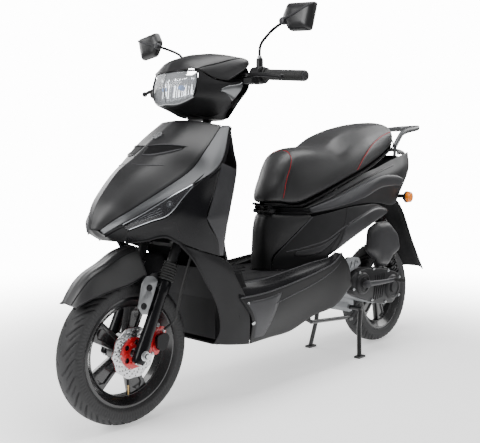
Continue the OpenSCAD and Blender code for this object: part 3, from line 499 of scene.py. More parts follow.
def add_bolt(bm, place, axis, r=6.0, height=5.0, washer=True):
    """A hexagon bolt head on a washer, with a shallow dish in its top."""
    u, v, d = axes_for(axis)
    place = np.asarray(place, float)
    if washer:
        add_turned(bm, place, axis, [(r * 1.35, 0), (r * 1.35, 0.9), (r * 1.2, 1.3), (0.1, 1.3)],
                   28)
    rings = []
    for scale, h in [(0.94, 1.2), (1.0, 1.6), (1.0, height - 0.8), (0.90, height), (0.6, height),
                     (0.5, height - 0.7), (0.05, height - 0.7)]:
        ring = []
        for i in range(6):
            a = math.pi / 3 * i
            ring.append(place + d * h + r * scale * (math.cos(a) * u + math.sin(a) * v))
        rings.append(ring)
    add_loft(bm, rings)


def mirrored(bm):
    """Adds the other side's copy of everything in the mesh."""
    copy = bmesh.ops.duplicate(bm, geom=bm.verts[:] + bm.edges[:] + bm.faces[:])
    verts = [g for g in copy["geom"] if isinstance(g, bmesh.types.BMVert)]
    faces = [g for g in copy["geom"] if isinstance(g, bmesh.types.BMFace)]
    for v in verts:
        v.co.y = -v.co.y
    bmesh.ops.reverse_faces(bm, faces=faces)


def piece(name, bm, body, slot_name, look=None, bevel=0.0, wall=0.0, sharp=35.0, subdivide=0,
          other_side=False, stands_for=()):
    """Turns a mesh in mm into a named piece that rides on a body."""
    if other_side:
        for v in bm.verts:
            v.co.y = -v.co.y
        bmesh.ops.reverse_faces(bm, faces=bm.faces[:])
    bmesh.ops.transform(bm, matrix=TO_FRAME, verts=bm.verts)
    for face in bm.faces:
        face.smooth = True
    for edge in bm.edges:
        if len(edge.link_faces) == 2:
            edge.smooth = edge.calc_face_angle(0.0) < math.radians(sharp)
    mesh = bpy.data.meshes.new(name)
    bm.to_mesh(mesh)
    bm.free()
    obj = bpy.data.objects.new(name, mesh)
    bpy.context.scene.collection.objects.link(obj)
    if wall:
        solid = obj.modifiers.new("wall", "SOLIDIFY")
        solid.thickness = wall * MM
        solid.offset = -1.0
        solid.use_even_offset = True
    if bevel:
        soft = obj.modifiers.new("edges", "BEVEL")
        soft.width = bevel * MM
        soft.segments = 2
        soft.limit_method = "ANGLE"
        soft.angle_limit = math.radians(32)
        soft.use_clamp_overlap = True
    if subdivide:
        fine = obj.modifiers.new("smooth", "SUBSURF")
        fine.levels = fine.render_levels = subdivide
    mesh.materials.append(MATERIALS[look or slot_name])
    if body:
        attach(obj, body)
    if stands_for:
        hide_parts(*stands_for)
    return obj


def skin(name, patches, inside, body, slot_name, k=8, wall=3.0, bevel=0.8, **more):
    """A smooth moulded cover through one or more grids that share their borders."""
    bm = bmesh.new()
    for grid in patches:
        add_grid(bm, fine_grid(grid, k), inside)
    bmesh.ops.remove_doubles(bm, verts=bm.verts, dist=0.35)
    bmesh.ops.dissolve_degenerate(bm, edges=bm.edges, dist=0.05)
    return piece(name, bm, body, slot_name, bevel=bevel, wall=wall, **more)



# ---------------------------------------------------------------- front body: left-side grids
NOSE = [
    [[112, 0, 574], [108, 14, 573], [99, 28, 572]],
    [[101, 0, 618], [94, 30, 608], [78, 55, 597]],
    [[77, 0, 662], [67, 48, 649], [43, 90, 627]],
    [[18, 0, 731], [3, 66, 712], [-34, 125, 678]],
    [[-40, 0, 772], [-60, 78, 762], [-125, 150, 737]],
    [[-120, 0, 834], [-130, 84, 824], [-177, 158, 795]],
    [[-202, 0, 890], [-210, 74, 886], [-262, 140, 872]]]
TRIM = [
    [[99, 28, 571], [98, 34, 566], [97, 40, 561]],
    [[78, 56, 596], [75, 70, 593], [71, 82, 589]],
    [[43, 91, 626], [37, 105, 622], [29, 116, 618]],
    [[-34, 126, 677], [-24, 139, 664], [-17, 146, 651]],
    [[-125, 151, 736], [-121, 174, 719], [-114, 190, 703]],
    [[-177, 159, 794], [-184, 187, 777], [-192, 208, 759]],
    [[-262, 141, 871], [-270, 149, 871], [-280, 157, 871]]]
INDICATOR = [
    [[70, 83, 588], [62, 87, 580], [52, 90, 571]],
    [[28, 116, 617], [19, 125, 606], [6, 131, 594]],
    [[-18, 147, 650], [-24, 156, 631], [-33, 161, 611]],
    [[-62, 167, 677], [-65, 175, 667], [-70, 181, 656]],
    [[-105, 188, 700], [-104, 190, 697], [-103, 192, 694]]]
LEG_PANEL = [
    [[51, 90, 569], [50, 85, 562], [47, 78, 553], [43, 70, 544], [39, 62, 536]],
    [[6, 131, 592], [4, 124, 582], [1, 114, 568], [-4, 102, 554], [-8, 90, 541]],
    [[-33, 161, 609], [-38, 159, 596], [-43, 152, 580], [-47, 140, 566], [-51, 126, 552]],
    [[-70, 182, 655], [-76, 185, 628], [-80, 182, 598], [-84, 169, 560], [-86, 152, 531]],
    [[-103, 193, 692], [-106, 203, 652], [-108, 206, 603], [-122, 196, 552], [-140, 176, 508]],
    [[-193, 209, 757], [-160, 215, 678], [-125, 218, 603], [-180, 206, 535], [-204, 188, 487]]]
RIM_UPPER = [
    [[-194, 209, 757], [-208, 220, 750], [-228, 234, 738]],
    [[-160, 215, 677], [-188, 224, 679], [-222, 232, 681]],
    [[-126, 218, 602], [-166, 222, 606], [-207, 225, 608]]]
RIM_LOWER = [
    [[-126, 218, 602], [-166, 222, 606], [-207, 225, 608]],
    [[-180, 206, 536], [-196, 205, 528], [-212, 202, 520]],
    [[-204, 189, 488], [-212, 188, 487], [-222, 187, 486]]]
SHIELD_INNER = [
    [[-356, 0, 872], [-350, 60, 872], [-326, 110, 872], [-286, 155, 870]],
    [[-352, 0, 800], [-346, 76, 800], [-314, 136, 796], [-256, 200, 790]],
    [[-350, 0, 735], [-344, 88, 735], [-308, 152, 735], [-234, 231, 735]],
    [[-354, 0, 610], [-346, 70, 610], [-304, 128, 610], [-212, 222, 608]],
    [[-366, 0, 510], [-356, 60, 510], [-306, 106, 510], [-220, 192, 512]],
    [[-396, 0, 398], [-386, 60, 398], [-342, 108, 398], [-280, 170, 398]]]
LOWER_COWL = [
    [[-86, 151, 528], [-140, 175, 505], [-205, 188, 484], [-252, 191, 457]],
    [[-129, 165, 475], [-180, 182, 464], [-226, 190, 446], [-268, 191, 425]],
    [[-193, 160, 385], [-230, 176, 388], [-262, 186, 390], [-291, 190, 391]],
    [[-236, 150, 318], [-268, 170, 326], [-297, 181, 334], [-324, 188, 341]],
    [[-265, 130, 249], [-295, 152, 258], [-321, 168, 267], [-347, 180, 276]],
    [[-262, 106, 200], [-300, 124, 194], [-338, 138, 190], [-376, 150, 187]]]
SKIRT_UPPER = [
    [[-280, 172, 394], [-286, 183, 374], [-292, 190, 350]],
    [[-420, 165, 390], [-412, 182, 372], [-406, 190, 352]],
    [[-569, 160, 405], [-550, 179, 386], [-534, 188, 365]],
    [[-686, 155, 417], [-682, 172, 402], [-679, 182, 385]],
    [[-781, 160, 426], [-788, 170, 418], [-796, 176, 408]],
    [[-820, 168, 444], [-836, 172, 442], [-852, 174, 440]]]
SKIRT_LOWER = [
    [[-292, 190, 350], [-350, 186, 276], [-379, 150, 187]],
    [[-406, 190, 352], [-440, 184, 272], [-470, 150, 190]],
    [[-534, 188, 365], [-560, 180, 288], [-583, 152, 194]],
    [[-679, 182, 385], [-690, 176, 308], [-700, 162, 230]],
    [[-796, 176, 408], [-815, 172, 338], [-830, 165, 248]],
    [[-852, 174, 440], [-900, 174, 386], [-932, 166, 310]]]
SEAT_FRONT = [
    [[-612, 0, 586], [-618, 30, 586], [-658, 64, 586], [-730, 104, 586]],
    [[-602, 0, 570], [-608, 30, 570], [-652, 72, 570], [-738, 119, 573]],
    [[-590, 0, 530], [-596, 30, 530], [-634, 66, 530], [-698, 97, 531]],
    [[-585, 0, 478], [-590, 28, 478], [-612, 52, 478], [-646, 71, 478]],
    [[-583, 0, 437], [-587, 24, 437], [-596, 40, 437], [-607, 50, 438]],
    [[-583, 0, 390], [-586, 22, 390], [-592, 36, 390], [-603, 47, 390]]]
BODY_SIDE = [
    [[-742, 122, 574], [-702, 100, 529], [-650, 74, 476], [-612, 54, 432], [-607, 50, 392]],
    [[-780, 141, 582], [-752, 130, 530], [-716, 112, 472], [-676, 88, 427], [-655, 76, 392]],
    [[-822, 156, 590], [-810, 154, 536], [-788, 146, 478], [-758, 133, 428], [-734, 119, 396]],
    [[-893, 168, 602], [-882, 170, 552], [-862, 169, 510], [-838, 162, 468], [-815, 155, 438]],
    [[-1000, 166, 608], [-1000, 170, 574], [-990, 171, 542], [-976, 170, 516], [-955, 168, 497]],
    [[-1113, 155, 608], [-1112, 158, 587], [-1104, 160, 564], [-1090, 161, 545], [-1063, 160, 528]],
    [[-1228, 138, 584], [-1226, 141, 580], [-1223, 142, 576], [-1220, 142, 572], [-1216, 141, 568]]]
TAIL = [
    [[-708, 96, 600], [-714, 102, 594], [-722, 108, 588], [-730, 112, 584]],
    [[-823, 132, 652], [-830, 147, 628], [-835, 155, 610], [-840, 156, 600]],
    [[-1026, 138, 723], [-1020, 155, 680], [-1010, 160, 642], [-1005, 158, 614]],
    [[-1150, 131, 752], [-1150, 150, 715], [-1150, 148, 676], [-1150, 140, 612]],
    [[-1260, 122, 780], [-1262, 140, 730], [-1265, 138, 678], [-1265, 128, 600]],
    [[-1370, 112, 805], [-1372, 125, 740], [-1362, 118, 668], [-1350, 105, 606]],
    [[-1470, 92, 824], [-1465, 100, 750], [-1430, 88, 668], [-1404, 80, 628]]]
COWL_TOP = [
    [[-170, 0, 1034], [-178, 50, 1036], [-206, 97, 1037], [-252, 119, 1014], [-300, 134, 1008]],
    [[-204, 0, 1073], [-215, 55, 1070], [-243, 100, 1056], [-280, 126, 1030], [-320, 139, 1020]],
    [[-287, 0, 1100], [-300, 60, 1097], [-326, 108, 1086], [-348, 136, 1066], [-362, 144, 1046]],
    [[-350, 0, 1099], [-357, 60, 1095], [-374, 108, 1090], [-382, 136, 1080], [-384, 144, 1066]]]
COWL_SIDE = [
    [[-208, 101, 1031], [-199, 104, 993], [-196, 92, 953], [-176, 40, 930], [-168, 0, 928]],
    [[-254, 121, 1008], [-252, 121, 988], [-240, 102, 950], [-222, 44, 918], [-214, 0, 914]],
    [[-302, 135, 1002], [-300, 134, 990], [-292, 112, 950], [-262, 52, 908], [-236, 0, 906]],
    [[-352, 143, 1008], [-350, 138, 985], [-338, 104, 944], [-310, 66, 906], [-250, 20, 902]]]
DASH = [
    [[-354, 0, 1096], [-360, 60, 1092], [-377, 110, 1087]],
    [[-425, 0, 1062], [-425, 60, 1058], [-418, 108, 1052]],
    [[-432, 0, 1000], [-430, 60, 998], [-420, 108, 1000]],
    [[-412, 0, 935], [-410, 50, 936], [-396, 84, 950]],
    [[-394, 0, 902], [-390, 36, 902], [-376, 62, 904]]]
LENS = [
    [[-169, 0, 1030], [-179, 50, 1032], [-207, 94, 1032]],
    [[-156, 0, 990], [-169, 50, 988], [-200, 101, 994]],
    [[-163, 0, 934], [-178, 44, 935], [-197, 90, 954]]]
FENDER = [
    [[196, 0, 378], [193, 22, 374], [186, 42, 371]],
    [[163, 0, 425], [160, 28, 418], [150, 50, 387]],
    [[130, 0, 454], [128, 30, 446], [119, 53, 394]],
    [[80, 0, 477], [78, 31, 470], [70, 56, 405]],
    [[29, 0, 504], [28, 33, 496], [22, 59, 413]],
    [[-25, 0, 520], [-26, 33, 511], [-40, 60, 436]]]
MUD = [[-1392, 636], [-1440, 618], [-1500, 560], [-1561, 468], [-1620, 390], [-1668, 330],
       [-1698, 296]]
SEAT = [
    [-592, 624, 650, 22], [-600, 624, 668, 36], [-618, 624, 700, 51], [-648, 622, 754, 62],
    [-676, 616, 790, 76], [-706, 616, 809, 94], [-740, 628, 820, 110], [-790, 650, 827, 129],
    [-843, 673, 829, 141], [-890, 692, 838, 148], [-950, 712, 872, 150], [-1020, 731, 898, 145],
    [-1085, 750, 916, 137], [-1160, 773, 931, 124], [-1231, 796, 940, 110], [-1300, 822, 945, 95],
    [-1350, 842, 943, 84], [-1384, 862, 936, 68], [-1400, 880, 924, 50]]
SIDES = [("left", False), ("right", True)]
# Seat cushion cloth: remesh size and largest movement in millimetres, then the simulation's values
SEAT_VOXEL, SEAT_SWELL = 6.5, 2.5
SEAT_PRESSURE, SEAT_STIFFNESS, SEAT_FRAMES = 4.0, 30, 12
FRONT_MIDDLE = (-300, 0, 600)
REAR_MIDDLE = (-1000, 0, 560)


# ---------------------------------------------------------------- front body
def front_body():
    both = [NOSE, [[(x, -y, z) for x, y, z in row] for row in NOSE]]
    skin("nose_shield_skin", both, FRONT_MIDDLE, "chassis", "satin_black", wall=2.5,
         stands_for=["nose_shield"])
    nose = Surface(NOSE, FRONT_MIDDLE)

    emblem = bmesh.new()
    centre, out = nose.point(0.85, 0.02, 1.2), nose.normal(0.85, 0.0) * (1, 0, 1)
    add_turned(emblem, centre, out,
               [(17, -6), (17, 0.8), (16.2, 1.6), (14.2, 1.6), (13.6, 0.6), (9, 0.7),
                                     (8.4, 1.5), (0.1, 1.9)], 48)
    piece("nose_emblem", emblem, "chassis", "trim_grey", look="light_trim_and_highlight", bevel=0.2)

    # painted highlight: the vent's lips and the crease below take a lighter grey than the nose, for the light along
    # them
    lips, slot = bmesh.new(), bmesh.new()
    for path, w, h, lift in [
        ([[0.768, 0.04], [0.785, 0.3], [0.80, 0.56], [0.815, 0.74]], 2.6, 2.0, 0.9),
        ([[0.700, 0.10], [0.705, 0.32], [0.735, 0.52], [0.79, 0.70]], 3.8, 2.8, 0.6),
        ([[0.61, 0.10], [0.615, 0.3], [0.63, 0.5], [0.655, 0.66]], 2.2, 1.3, 0.2),
    ]:
        points, normals = nose.path(path, lift)
        add_sweep(lips, points, w, h, normals,
                  taper=lambda t: 0.25 + 0.75 * math.sin(math.pi * t) ** 0.5)
    upper = nose.path([[0.768, 0.04], [0.785, 0.3], [0.80, 0.56], [0.812, 0.72]], 0.5)[0]
    lower = nose.path([[0.700, 0.10], [0.705, 0.32], [0.735, 0.52], [0.79, 0.70]], 0.5)[0]
    add_grid(slot, [[a + (b - a) * t for t in np.linspace(0, 1, 5)] for a, b in zip(upper, lower)],
             FRONT_MIDDLE)
    mirrored(lips)
    mirrored(slot)
    piece("nose_vent_lip_highlights", lips, "chassis", "cowl_grey", look="grey_and_highlight")
    # painted shade: the vent slot is a near-black sheet on the nose, for the shade in the recess
    piece("nose_vent_painted_shade", slot, "chassis", "grain_black", look="near_black_and_shade", wall=0.5)

    for side, other in SIDES:
        skin(f"nose_trim_{side}", [TRIM], FRONT_MIDDLE, "chassis", "trim_grey", wall=3.5, bevel=1.0,
             other_side=other, stands_for=["nose_trim"])
        skin(f"leg_panel_{side}_skin", [LEG_PANEL], FRONT_MIDDLE, "chassis", "gloss_black",
             other_side=other, stands_for=[f"leg_panel_{side}"])
        skin(f"rim_facet_{side}", [RIM_UPPER, RIM_LOWER], FRONT_MIDDLE, "chassis", "cowl_grey",
             look="grey_and_highlight", other_side=other)
        skin(f"lower_cowl_{side}_skin", [LOWER_COWL], FRONT_MIDDLE, "chassis", "cowl_grey",
             other_side=other, stands_for=[f"lower_cowl_{side}"])
        edge = bmesh.new()
        arch = fine_row([row[0] for row in LOWER_COWL[:3]], 8)
        add_sweep(edge, arch + (2, 1, 1), 4.5, 2.0, taper=lambda t: 1 - 0.5 * t)
        beak = fine_row([[39, 62, 534], [-8, 90, 540], [-51, 126, 551], [-86, 152, 530]], 8)
        add_sweep(edge, beak, 5.5, 3.0, taper=lambda t: 0.5 + 0.5 * t)
        piece(f"arch_lip_{side}", edge, "chassis", "cowl_grey", other_side=other)
        indicator(side, other)
        # painted shade: near-black strips just behind the panel seams, so the gaps read as shade
        gap_shade = bmesh.new()
        for grid, v in [(TRIM, 0.0), (TRIM, 1.0), (INDICATOR, 0.0), (INDICATOR, 1.0),
                        (LEG_PANEL, 0.0)]:
            points, normals = Surface(grid, FRONT_MIDDLE).path([[0.0, v], [0.25, v], [0.5, v],
                                                                [0.75, v], [1.0, v]], -7.0, 10)
            add_sweep(gap_shade, points, 8.5, 2.0, normals, steps=8)
        piece(f"seam_painted_shade_{side}", gap_shade, "chassis", "grain_black", look="near_black_and_shade",
              other_side=other)
        bolts = bmesh.new()
        for x, y, z in [(-330, 187, 330), (-362, 182, 262)]:
            add_bolt(bolts, (x, y - 1, z), (0.1, 0.98, -0.15), 5.0, 4.5)
        piece(f"cowl_screws_{side}", bolts, "chassis", "bright_steel", other_side=other, bevel=0.3)
    inner = bmesh.new()
    add_grid(inner, fine_grid([full_row(r) for r in SHIELD_INNER], 6), (0, 0, 600))
    piece("leg_shield_skin", inner, "chassis", "grain_black", wall=2.5, bevel=0.8,
          stands_for=["leg_shield"])
    beak = bmesh.new()
    add_grid(beak, fine_grid([
        [[110, 0, 572], [104, 20, 570], [97, 38, 561], [84, 62, 574], [70, 84, 587]],
        [[92, 0, 553], [85, 20, 552], [76, 42, 550], [66, 66, 560], [52, 90, 569]],
        [[70, 0, 539], [64, 18, 538], [56, 38, 537], [47, 51, 537], [40, 62, 537]]], 6),
        (-40, 0, 600))
    mirrored(beak)
    bmesh.ops.remove_doubles(beak, verts=beak.verts, dist=0.05)
    piece("beak_front", beak, "chassis", "cowl_grey", wall=2.0, bevel=0.6)
    for side, other in SIDES:
        liner = bmesh.new()
        rows = []
        for (x, y, z), inner_x in zip([(-150, 165, 470), (-206, 163, 386), (-250, 156, 320),
                                       (-282, 138, 253), (-284, 112, 199)],
                                      [-250, -258, -264, -268, -272]):
            rows.append([[x, y, z], [x * 0.45 + inner_x * 0.55, y - 10, z], [inner_x, 109, z - 4]])
        add_grid(liner, fine_grid(rows, 5), (-100, 130, 300))
        seam = [[(x + 24, y, z), (x - 6, y + 1, z), (x - 50, y - 1, z)] for x, y, z in
                [(-258, 180, 430), (-278, 180, 385), (-312, 178, 335), (-338, 167, 272),
                 (-368, 138, 196)]]
        add_grid(liner, fine_grid(seam, 4), (-300, 0, 320))
        piece(f"inner_liner_{side}", liner, "chassis", "grain_black", look="near_black_and_shade",
              other_side=other, wall=1.5)


def indicator(side, other):
    """Smoked lens over a dark tray with bright blades, chrome edge lines and a bulb."""
    skin(f"indicator_lens_{side}", [INDICATOR], FRONT_MIDDLE, "chassis", "smoked_lens", wall=1.5,
         bevel=0.4, other_side=other, stands_for=["front_indicators"])
    lens = Surface(INDICATOR, FRONT_MIDDLE)
    tray = bmesh.new()
    grid = [[lens.point(u, v, -9 * math.sin(math.pi * min(max(v, 0.02), 0.98)) - 2)
             for v in np.linspace(0.02, 0.98, 9)] for u in np.linspace(0.0, 0.99, 26)]
    add_grid(tray, grid, FRONT_MIDDLE)
    piece(f"indicator_tray_{side}", tray, "chassis", "gloss_black", other_side=other)
    bright = bmesh.new()
    for v, w in [(0.08, 1.6), (0.93, 1.6)]:
        points, normals = lens.path([[0.02, v], [0.3, v], [0.6, v], [0.97, 0.5 + (v - 0.5) * 0.7]],
                                    -0.6)
        add_sweep(bright, points, w, 0.8, normals)
    for v in (0.28, 0.45, 0.62):
        points, normals = lens.path([[0.06, v], [0.25, v + 0.02], [0.46, v + 0.05]], -4.5)
        add_sweep(bright, points, 1.8, 1.2, normals, taper=lambda t: 0.35 + 0.65 * t)
    centre, out = lens.point(0.58, 0.48, -4), lens.normal(0.58, 0.48)
    add_turned(bright, centre - 4 * out, out,
               [(11, 0), (10, 3), (5, 1.0), (4.5, 5), (3.2, 8), (0.1, 9)], 24)
    piece(f"indicator_blades_{side}", bright, "chassis", "reflector", other_side=other)


# ---------------------------------------------------------------- middle and rear body
def middle_body():
    for side, other in SIDES:
        skin(f"skirt_rail_{side}", [SKIRT_UPPER], (-560, 0, 300), "chassis", "gloss_black",
             other_side=other, stands_for=[f"side_skirt_{side}"])
        # painted shade: the skirt panel takes the darker copy of the satin black
        skin(f"skirt_panel_{side}", [SKIRT_LOWER], (-560, 0, 300), "chassis", "satin_black",
             look="shaded_skirt_black",
             other_side=other)
        # painted highlight: light grey lines along the seam, the skirt's top edge and across the belly
        line = bmesh.new()
        seam = fine_row([row[0] for row in SKIRT_LOWER], 8)
        add_sweep(line, seam + (0, 1.0, 0), 2.6, 2.0)
        top = fine_row([row[0] for row in SKIRT_UPPER], 8)
        add_sweep(line, top, 2.2)
        belly = Surface(SKIRT_LOWER, (-560, 0, 300))
        points, normals = belly.path([[0.10, 0.30], [0.35, 0.27], [0.65, 0.22], [0.93, 0.16]], 0.2)
        add_sweep(line, points, 2.4, 1.4, normals,
                  taper=lambda t: 0.4 + 0.6 * math.sin(math.pi * t))
        piece(f"skirt_highlight_lines_{side}", line, "chassis", "cowl_grey", look="grey_and_highlight",
              other_side=other)
        # painted highlight: a lighter grey panel raised just off the front of the skirt, where light falls on it
        painted_patch = bmesh.new()
        add_grid(painted_patch, [[belly.point(0.03 + u * (0.30 - 0.18 * v), 0.10 + 0.80 * v,
                                      0.2 + 1.6 * math.sin(math.pi * u) ** 0.6)
                          for u in np.linspace(0, 1, 9)] for v in np.linspace(0, 1, 14)],
                          (-560, 0, 300))
        piece(f"skirt_painted_highlight_{side}", painted_patch, "chassis", "cowl_grey", look="grey_and_highlight",
              other_side=other, wall=0.4)
        skin(f"body_side_{side}_skin", [BODY_SIDE], REAR_MIDDLE, "chassis", "satin_black",
             look="panel_black", other_side=other, stands_for=[f"body_side_{side}"])
        body_details(side, other)
        skin(f"tail_{side}_skin", [TAIL], REAR_MIDDLE, "chassis", "satin_black", look="panel_black",
             other_side=other, stands_for=[f"tail_panel_{side}"])
        tail_details(side, other)
    front = bmesh.new()
    add_grid(front, fine_grid([full_row(r) for r in SEAT_FRONT], 7), (-760, 0, 480))
    piece("seat_front_skin", front, "chassis", "satin_black", wall=2.5, bevel=0.8,
          stands_for=["under_seat_cover"])
    neck = bmesh.new()
    plan = [(-609, 0), (-610, 12), (-612, 24)], [(-630, 46), (-654, 68), (-694, 94), (-738, 115)]
    for part in plan:
        bands = [[(x - 3 * math.cos(a * 3), y - 1.5 * math.cos(a * 3) * (y > 30),
                   583 + 7.2 * a) for x, y in part]
                 for a in np.linspace(0, math.pi, 25)]
        add_grid(neck, bands, (-900, 0, 590))
    mirrored(neck)
    piece("seat_collar", neck, "chassis", "grain_black", look="near_black_and_shade", wall=2.0)
    deck = bmesh.new()
    add_grid(deck, fine_grid([full_row([[x, 0, z + 6], [x, w * 0.6, z + 4], [x, w, z]]) for x, w,
                              z in
                              [(-1150, 128, 738), (-1262, 119, 768), (-1372, 108, 793),
                               (-1398, 104, 798)]], 4),
             (-1260, 0, 600))
    add_box(deck, (-1394, -66, 688), (-1376, 66, 806))
    piece("tail_deck", deck, "chassis", "grain_black", look="near_black_and_shade", wall=1.5)
    floorboard()


def body_details(side, other):
    """Raised crease lines and raised patches in lighter colours that paint highlights, the panel split and the long
    pocket in the side cover.
    """
    cover = Surface(BODY_SIDE, REAR_MIDDLE)
    raised, dark = bmesh.new(), bmesh.new()
    points, normals = cover.path([[0.0, 0.0], [0.0, 0.25], [0.0, 0.5], [0.0, 0.75]], 0.4)
    add_sweep(raised, points, 3.2, 1.6, normals, taper=lambda t: 1 - 0.6 * t)
    points, normals = cover.path([[0.06, 0.62], [0.22, 0.50], [0.40, 0.42], [0.52, 0.34]], 0.2)
    add_sweep(raised, points, 2.4, 1.5, normals)
    points, normals = cover.path([[0.53, 0.32], [0.70, 0.22], [0.85, 0.10], [0.97, 0.05]], 0.2)
    add_sweep(raised, points, 2.2, 1.3, normals, taper=lambda t: 1 - 0.6 * t)
    points, normals = cover.path([[0.22, 0.78], [0.34, 0.66], [0.44, 0.56]], 0.0)
    add_sweep(dark, points, 4.0, 1.0, normals, taper=lambda t: 0.1 + 0.9 * t)
    points, normals = cover.path([[0.50, 0.0], [0.49, 0.3], [0.46, 0.6], [0.43, 0.98]], 0.0)
    add_sweep(dark, points, 1.5, 0.9, normals)
    # painted highlight: lighter patches raised just off the side cover, where light falls on it
    light, liner = bmesh.new(), bmesh.new()
    add_grid(light, [[cover.point(u, (0.36 - 0.30 * k) + (0.97 - 0.36 + 0.30 * k) * t,
                                  0.2 + 1.2 * math.sin(math.pi * t) ** 0.5)
                      for t in np.linspace(0, 1, 9)] for u,
                      k in zip(np.linspace(0.51, 0.98, 26), np.linspace(0, 1, 26))],
             REAR_MIDDLE)
    add_grid(light, [[cover.point(u, 0.60 - 0.16 * k + 0.30 * (1 - k) ** 0.6 * k ** 0.4 * t,
                                  0.2 + 2.2 * math.sin(math.pi * t) ** 0.6)
                      for t in np.linspace(0, 1, 7)] for u,
                      k in zip(np.linspace(0.14, 0.46, 20), np.linspace(0.02, 0.98, 20))],
             REAR_MIDDLE)
    piece(f"body_painted_highlights_{side}", light, "chassis", "satin_black", look="highlight_black",
          other_side=other, wall=0.4)
    top = [(-745, 112, 590, 118, 572), (-822, 142, 606, 150, 586), (-893, 150, 618, 158, 594),
           (-1000, 150, 630, 157, 598),
           (-1113, 138, 628, 146, 598), (-1228, 124, 618, 130, 580)]
    add_grid(liner, fine_grid([[(x, y0 - 2, z0), (x, (y0 + y1) / 2 - 2, (z0 + z1) / 2),
                                (x, y1 - 3, z1 - 6)]
                               for x, y0, z0, y1, z1 in top], 4), REAR_MIDDLE)
    piece(f"tail_liner_{side}", liner, "chassis", "grain_black", look="near_black_and_shade",
          other_side=other, wall=1.5)
    # painted highlight: the raised crease lines take a lighter grey than the side cover, for the light along them
    piece(f"body_crease_highlights_{side}", raised, "chassis", "cowl_grey", look="grey_and_highlight",
          other_side=other)
    piece(f"body_joints_{side}", dark, "chassis", "grain_black", other_side=other)


def tail_details(side, other):
    cover = Surface(TAIL, REAR_MIDDLE)
    # painted highlight: the wedge is a lighter grey patch raised just off the tail panel, where light falls on it
    highlight_wedge, dark = bmesh.new(), bmesh.new()
    grid = []
    for u in np.linspace(0.03, 0.86, 40):
        low = 0.86 - 0.30 * u
        high = 0.22 + 0.12 * u + 0.45 * max(0.0, u - 0.5)
        grid.append([cover.point(u, high + (low - high) * t,
                                 0.3 + 3.0 * math.sin(math.pi * t) ** 0.7)
                     for t in np.linspace(0, 1, 9)])
    add_grid(highlight_wedge, grid, REAR_MIDDLE)
    piece(f"tail_painted_highlight_{side}", highlight_wedge, "chassis", "cowl_grey", look="grey_and_highlight", other_side=other,
          wall=0.4)
    points, normals = cover.path([[0.0, 0.16], [0.2, 0.16], [0.45, 0.16], [0.7, 0.14]], 0.3)
    add_sweep(dark, points, 3.2, 1.6, normals)
    piece(f"tail_gloss_line_{side}", dark, "chassis", "gloss_black", other_side=other)


def floorboard():
    board = bmesh.new()
    outline = [(-294, 0), (-294, 150), (-600, 150), (-690, 146), (-768, 142), (-736, 126),
               (-672, 94),
               (-624, 66), (-600, 52), (-576, 26), (-574, 0)]
    plan = outline + [(x, -y) for x, y in outline[-2:0:-1]]
    low = [board.verts.new((x, y, 380)) for x, y in plan]
    high = [board.verts.new((x, y, 388)) for x, y in plan]
    n = len(plan)
    faces = [board.faces.new(low[::-1]), board.faces.new(high)]
    faces += [board.faces.new([low[i], low[(i + 1) % n], high[(i + 1) % n],
                               high[i]]) for i in range(n)]
    bmesh.ops.recalc_face_normals(board, faces=faces)
    for side in (-1, 1):
        for i in range(10):
            y = side * (28 + 11 * i)
            rear = -548 if i < 4 else -560 - 9 * i
            add_sweep(board, [(-312, y, 388), (-400, y, 388), (rear, y, 388)], 2.6, 4.0, power=0.5)
        for x in (-330, -520):
            add_bolt(board, (x, side * 143, 388), (0, 0, 1), 4.5, 3.5)
    piece("floorboard_skin", board, "chassis", "grain_black", bevel=0.6, stands_for=["floorboard"])


# ---------------------------------------------------------------- seat
def seat():
    """The cushion: lofted, inflated by a cloth simulation, then seamed and stitched."""
    stations = fine_row(SEAT, 4)
    mesh = bmesh.new()
    rings = []
    for x, under, top, wide in stations:
        rise = top - under
        pillion = min(max((-x - 860) / 90, 0.0), 1.0) * min(max((1392 + x) / 60, 0.0), 1.0)
        half = [(0.0, 0.0), (0.62, 0.0), (0.92, 0.01), (1.0, 0.07), (0.985, 0.30), (0.95, 0.52),
                (0.86, 0.72 - 0.06 * pillion), (0.72 - 0.06 * pillion, 0.87 - 0.05 * pillion),
                (0.50, 0.955), (0.26, 0.99), (0.0, 1.0)]
        left = [(x, wide * 0.985 * a, under + 1 + (rise - 3) * b) for a, b in half]
        rings.append(left + [(px, -py, pz) for px, py, pz in left[-2:0:-1]])
    add_loft(mesh, rings)
    cushion = piece("seat_cushion_vinyl", mesh, "seat", "seat_vinyl", sharp=180,
                    stands_for=["seat_cushion"])
    rebuild = cushion.modifiers.new("remesh", "REMESH")
    rebuild.mode = "VOXEL"
    rebuild.voxel_size = SEAT_VOXEL * MM
    bake(cushion)
    start = verts_of(cushion)
    puff(cushion)
    moved = verts_of(cushion) - start
    far = np.linalg.norm(moved, axis=1, keepdims=True)
    moved *= np.minimum(1.0, SEAT_SWELL * MM / np.maximum(far, 1e-9))
    points = relax(cushion, start + moved, 6)
    seams = seat_seams(cushion, points)
    fine = cushion.modifiers.new("smooth", "SUBSURF")
    fine.levels = fine.render_levels = 1
    bake(cushion)
    for poly in cushion.data.polygons:
        poly.use_smooth = True
    stitch(cushion, seams)
    rim = bmesh.new()
    low = [(x, under, wide) for x, under, top, wide in stations]
    edge = [(x, w * 0.985, u - 3) for x, u, w in low]
    loop = edge + [(x, -y, z) for x, y, z in edge[::-1]]
    add_loft(rim, [[np.array(p) + (0, 4.0 * math.copysign(c, p[1]), 4.0 * s) for c, s in
                    [(math.cos(a), math.sin(a)) for a in around(8)]]
                   for p in loop], closed=True)
    piece("seat_piping", rim, "seat", "grain_black")


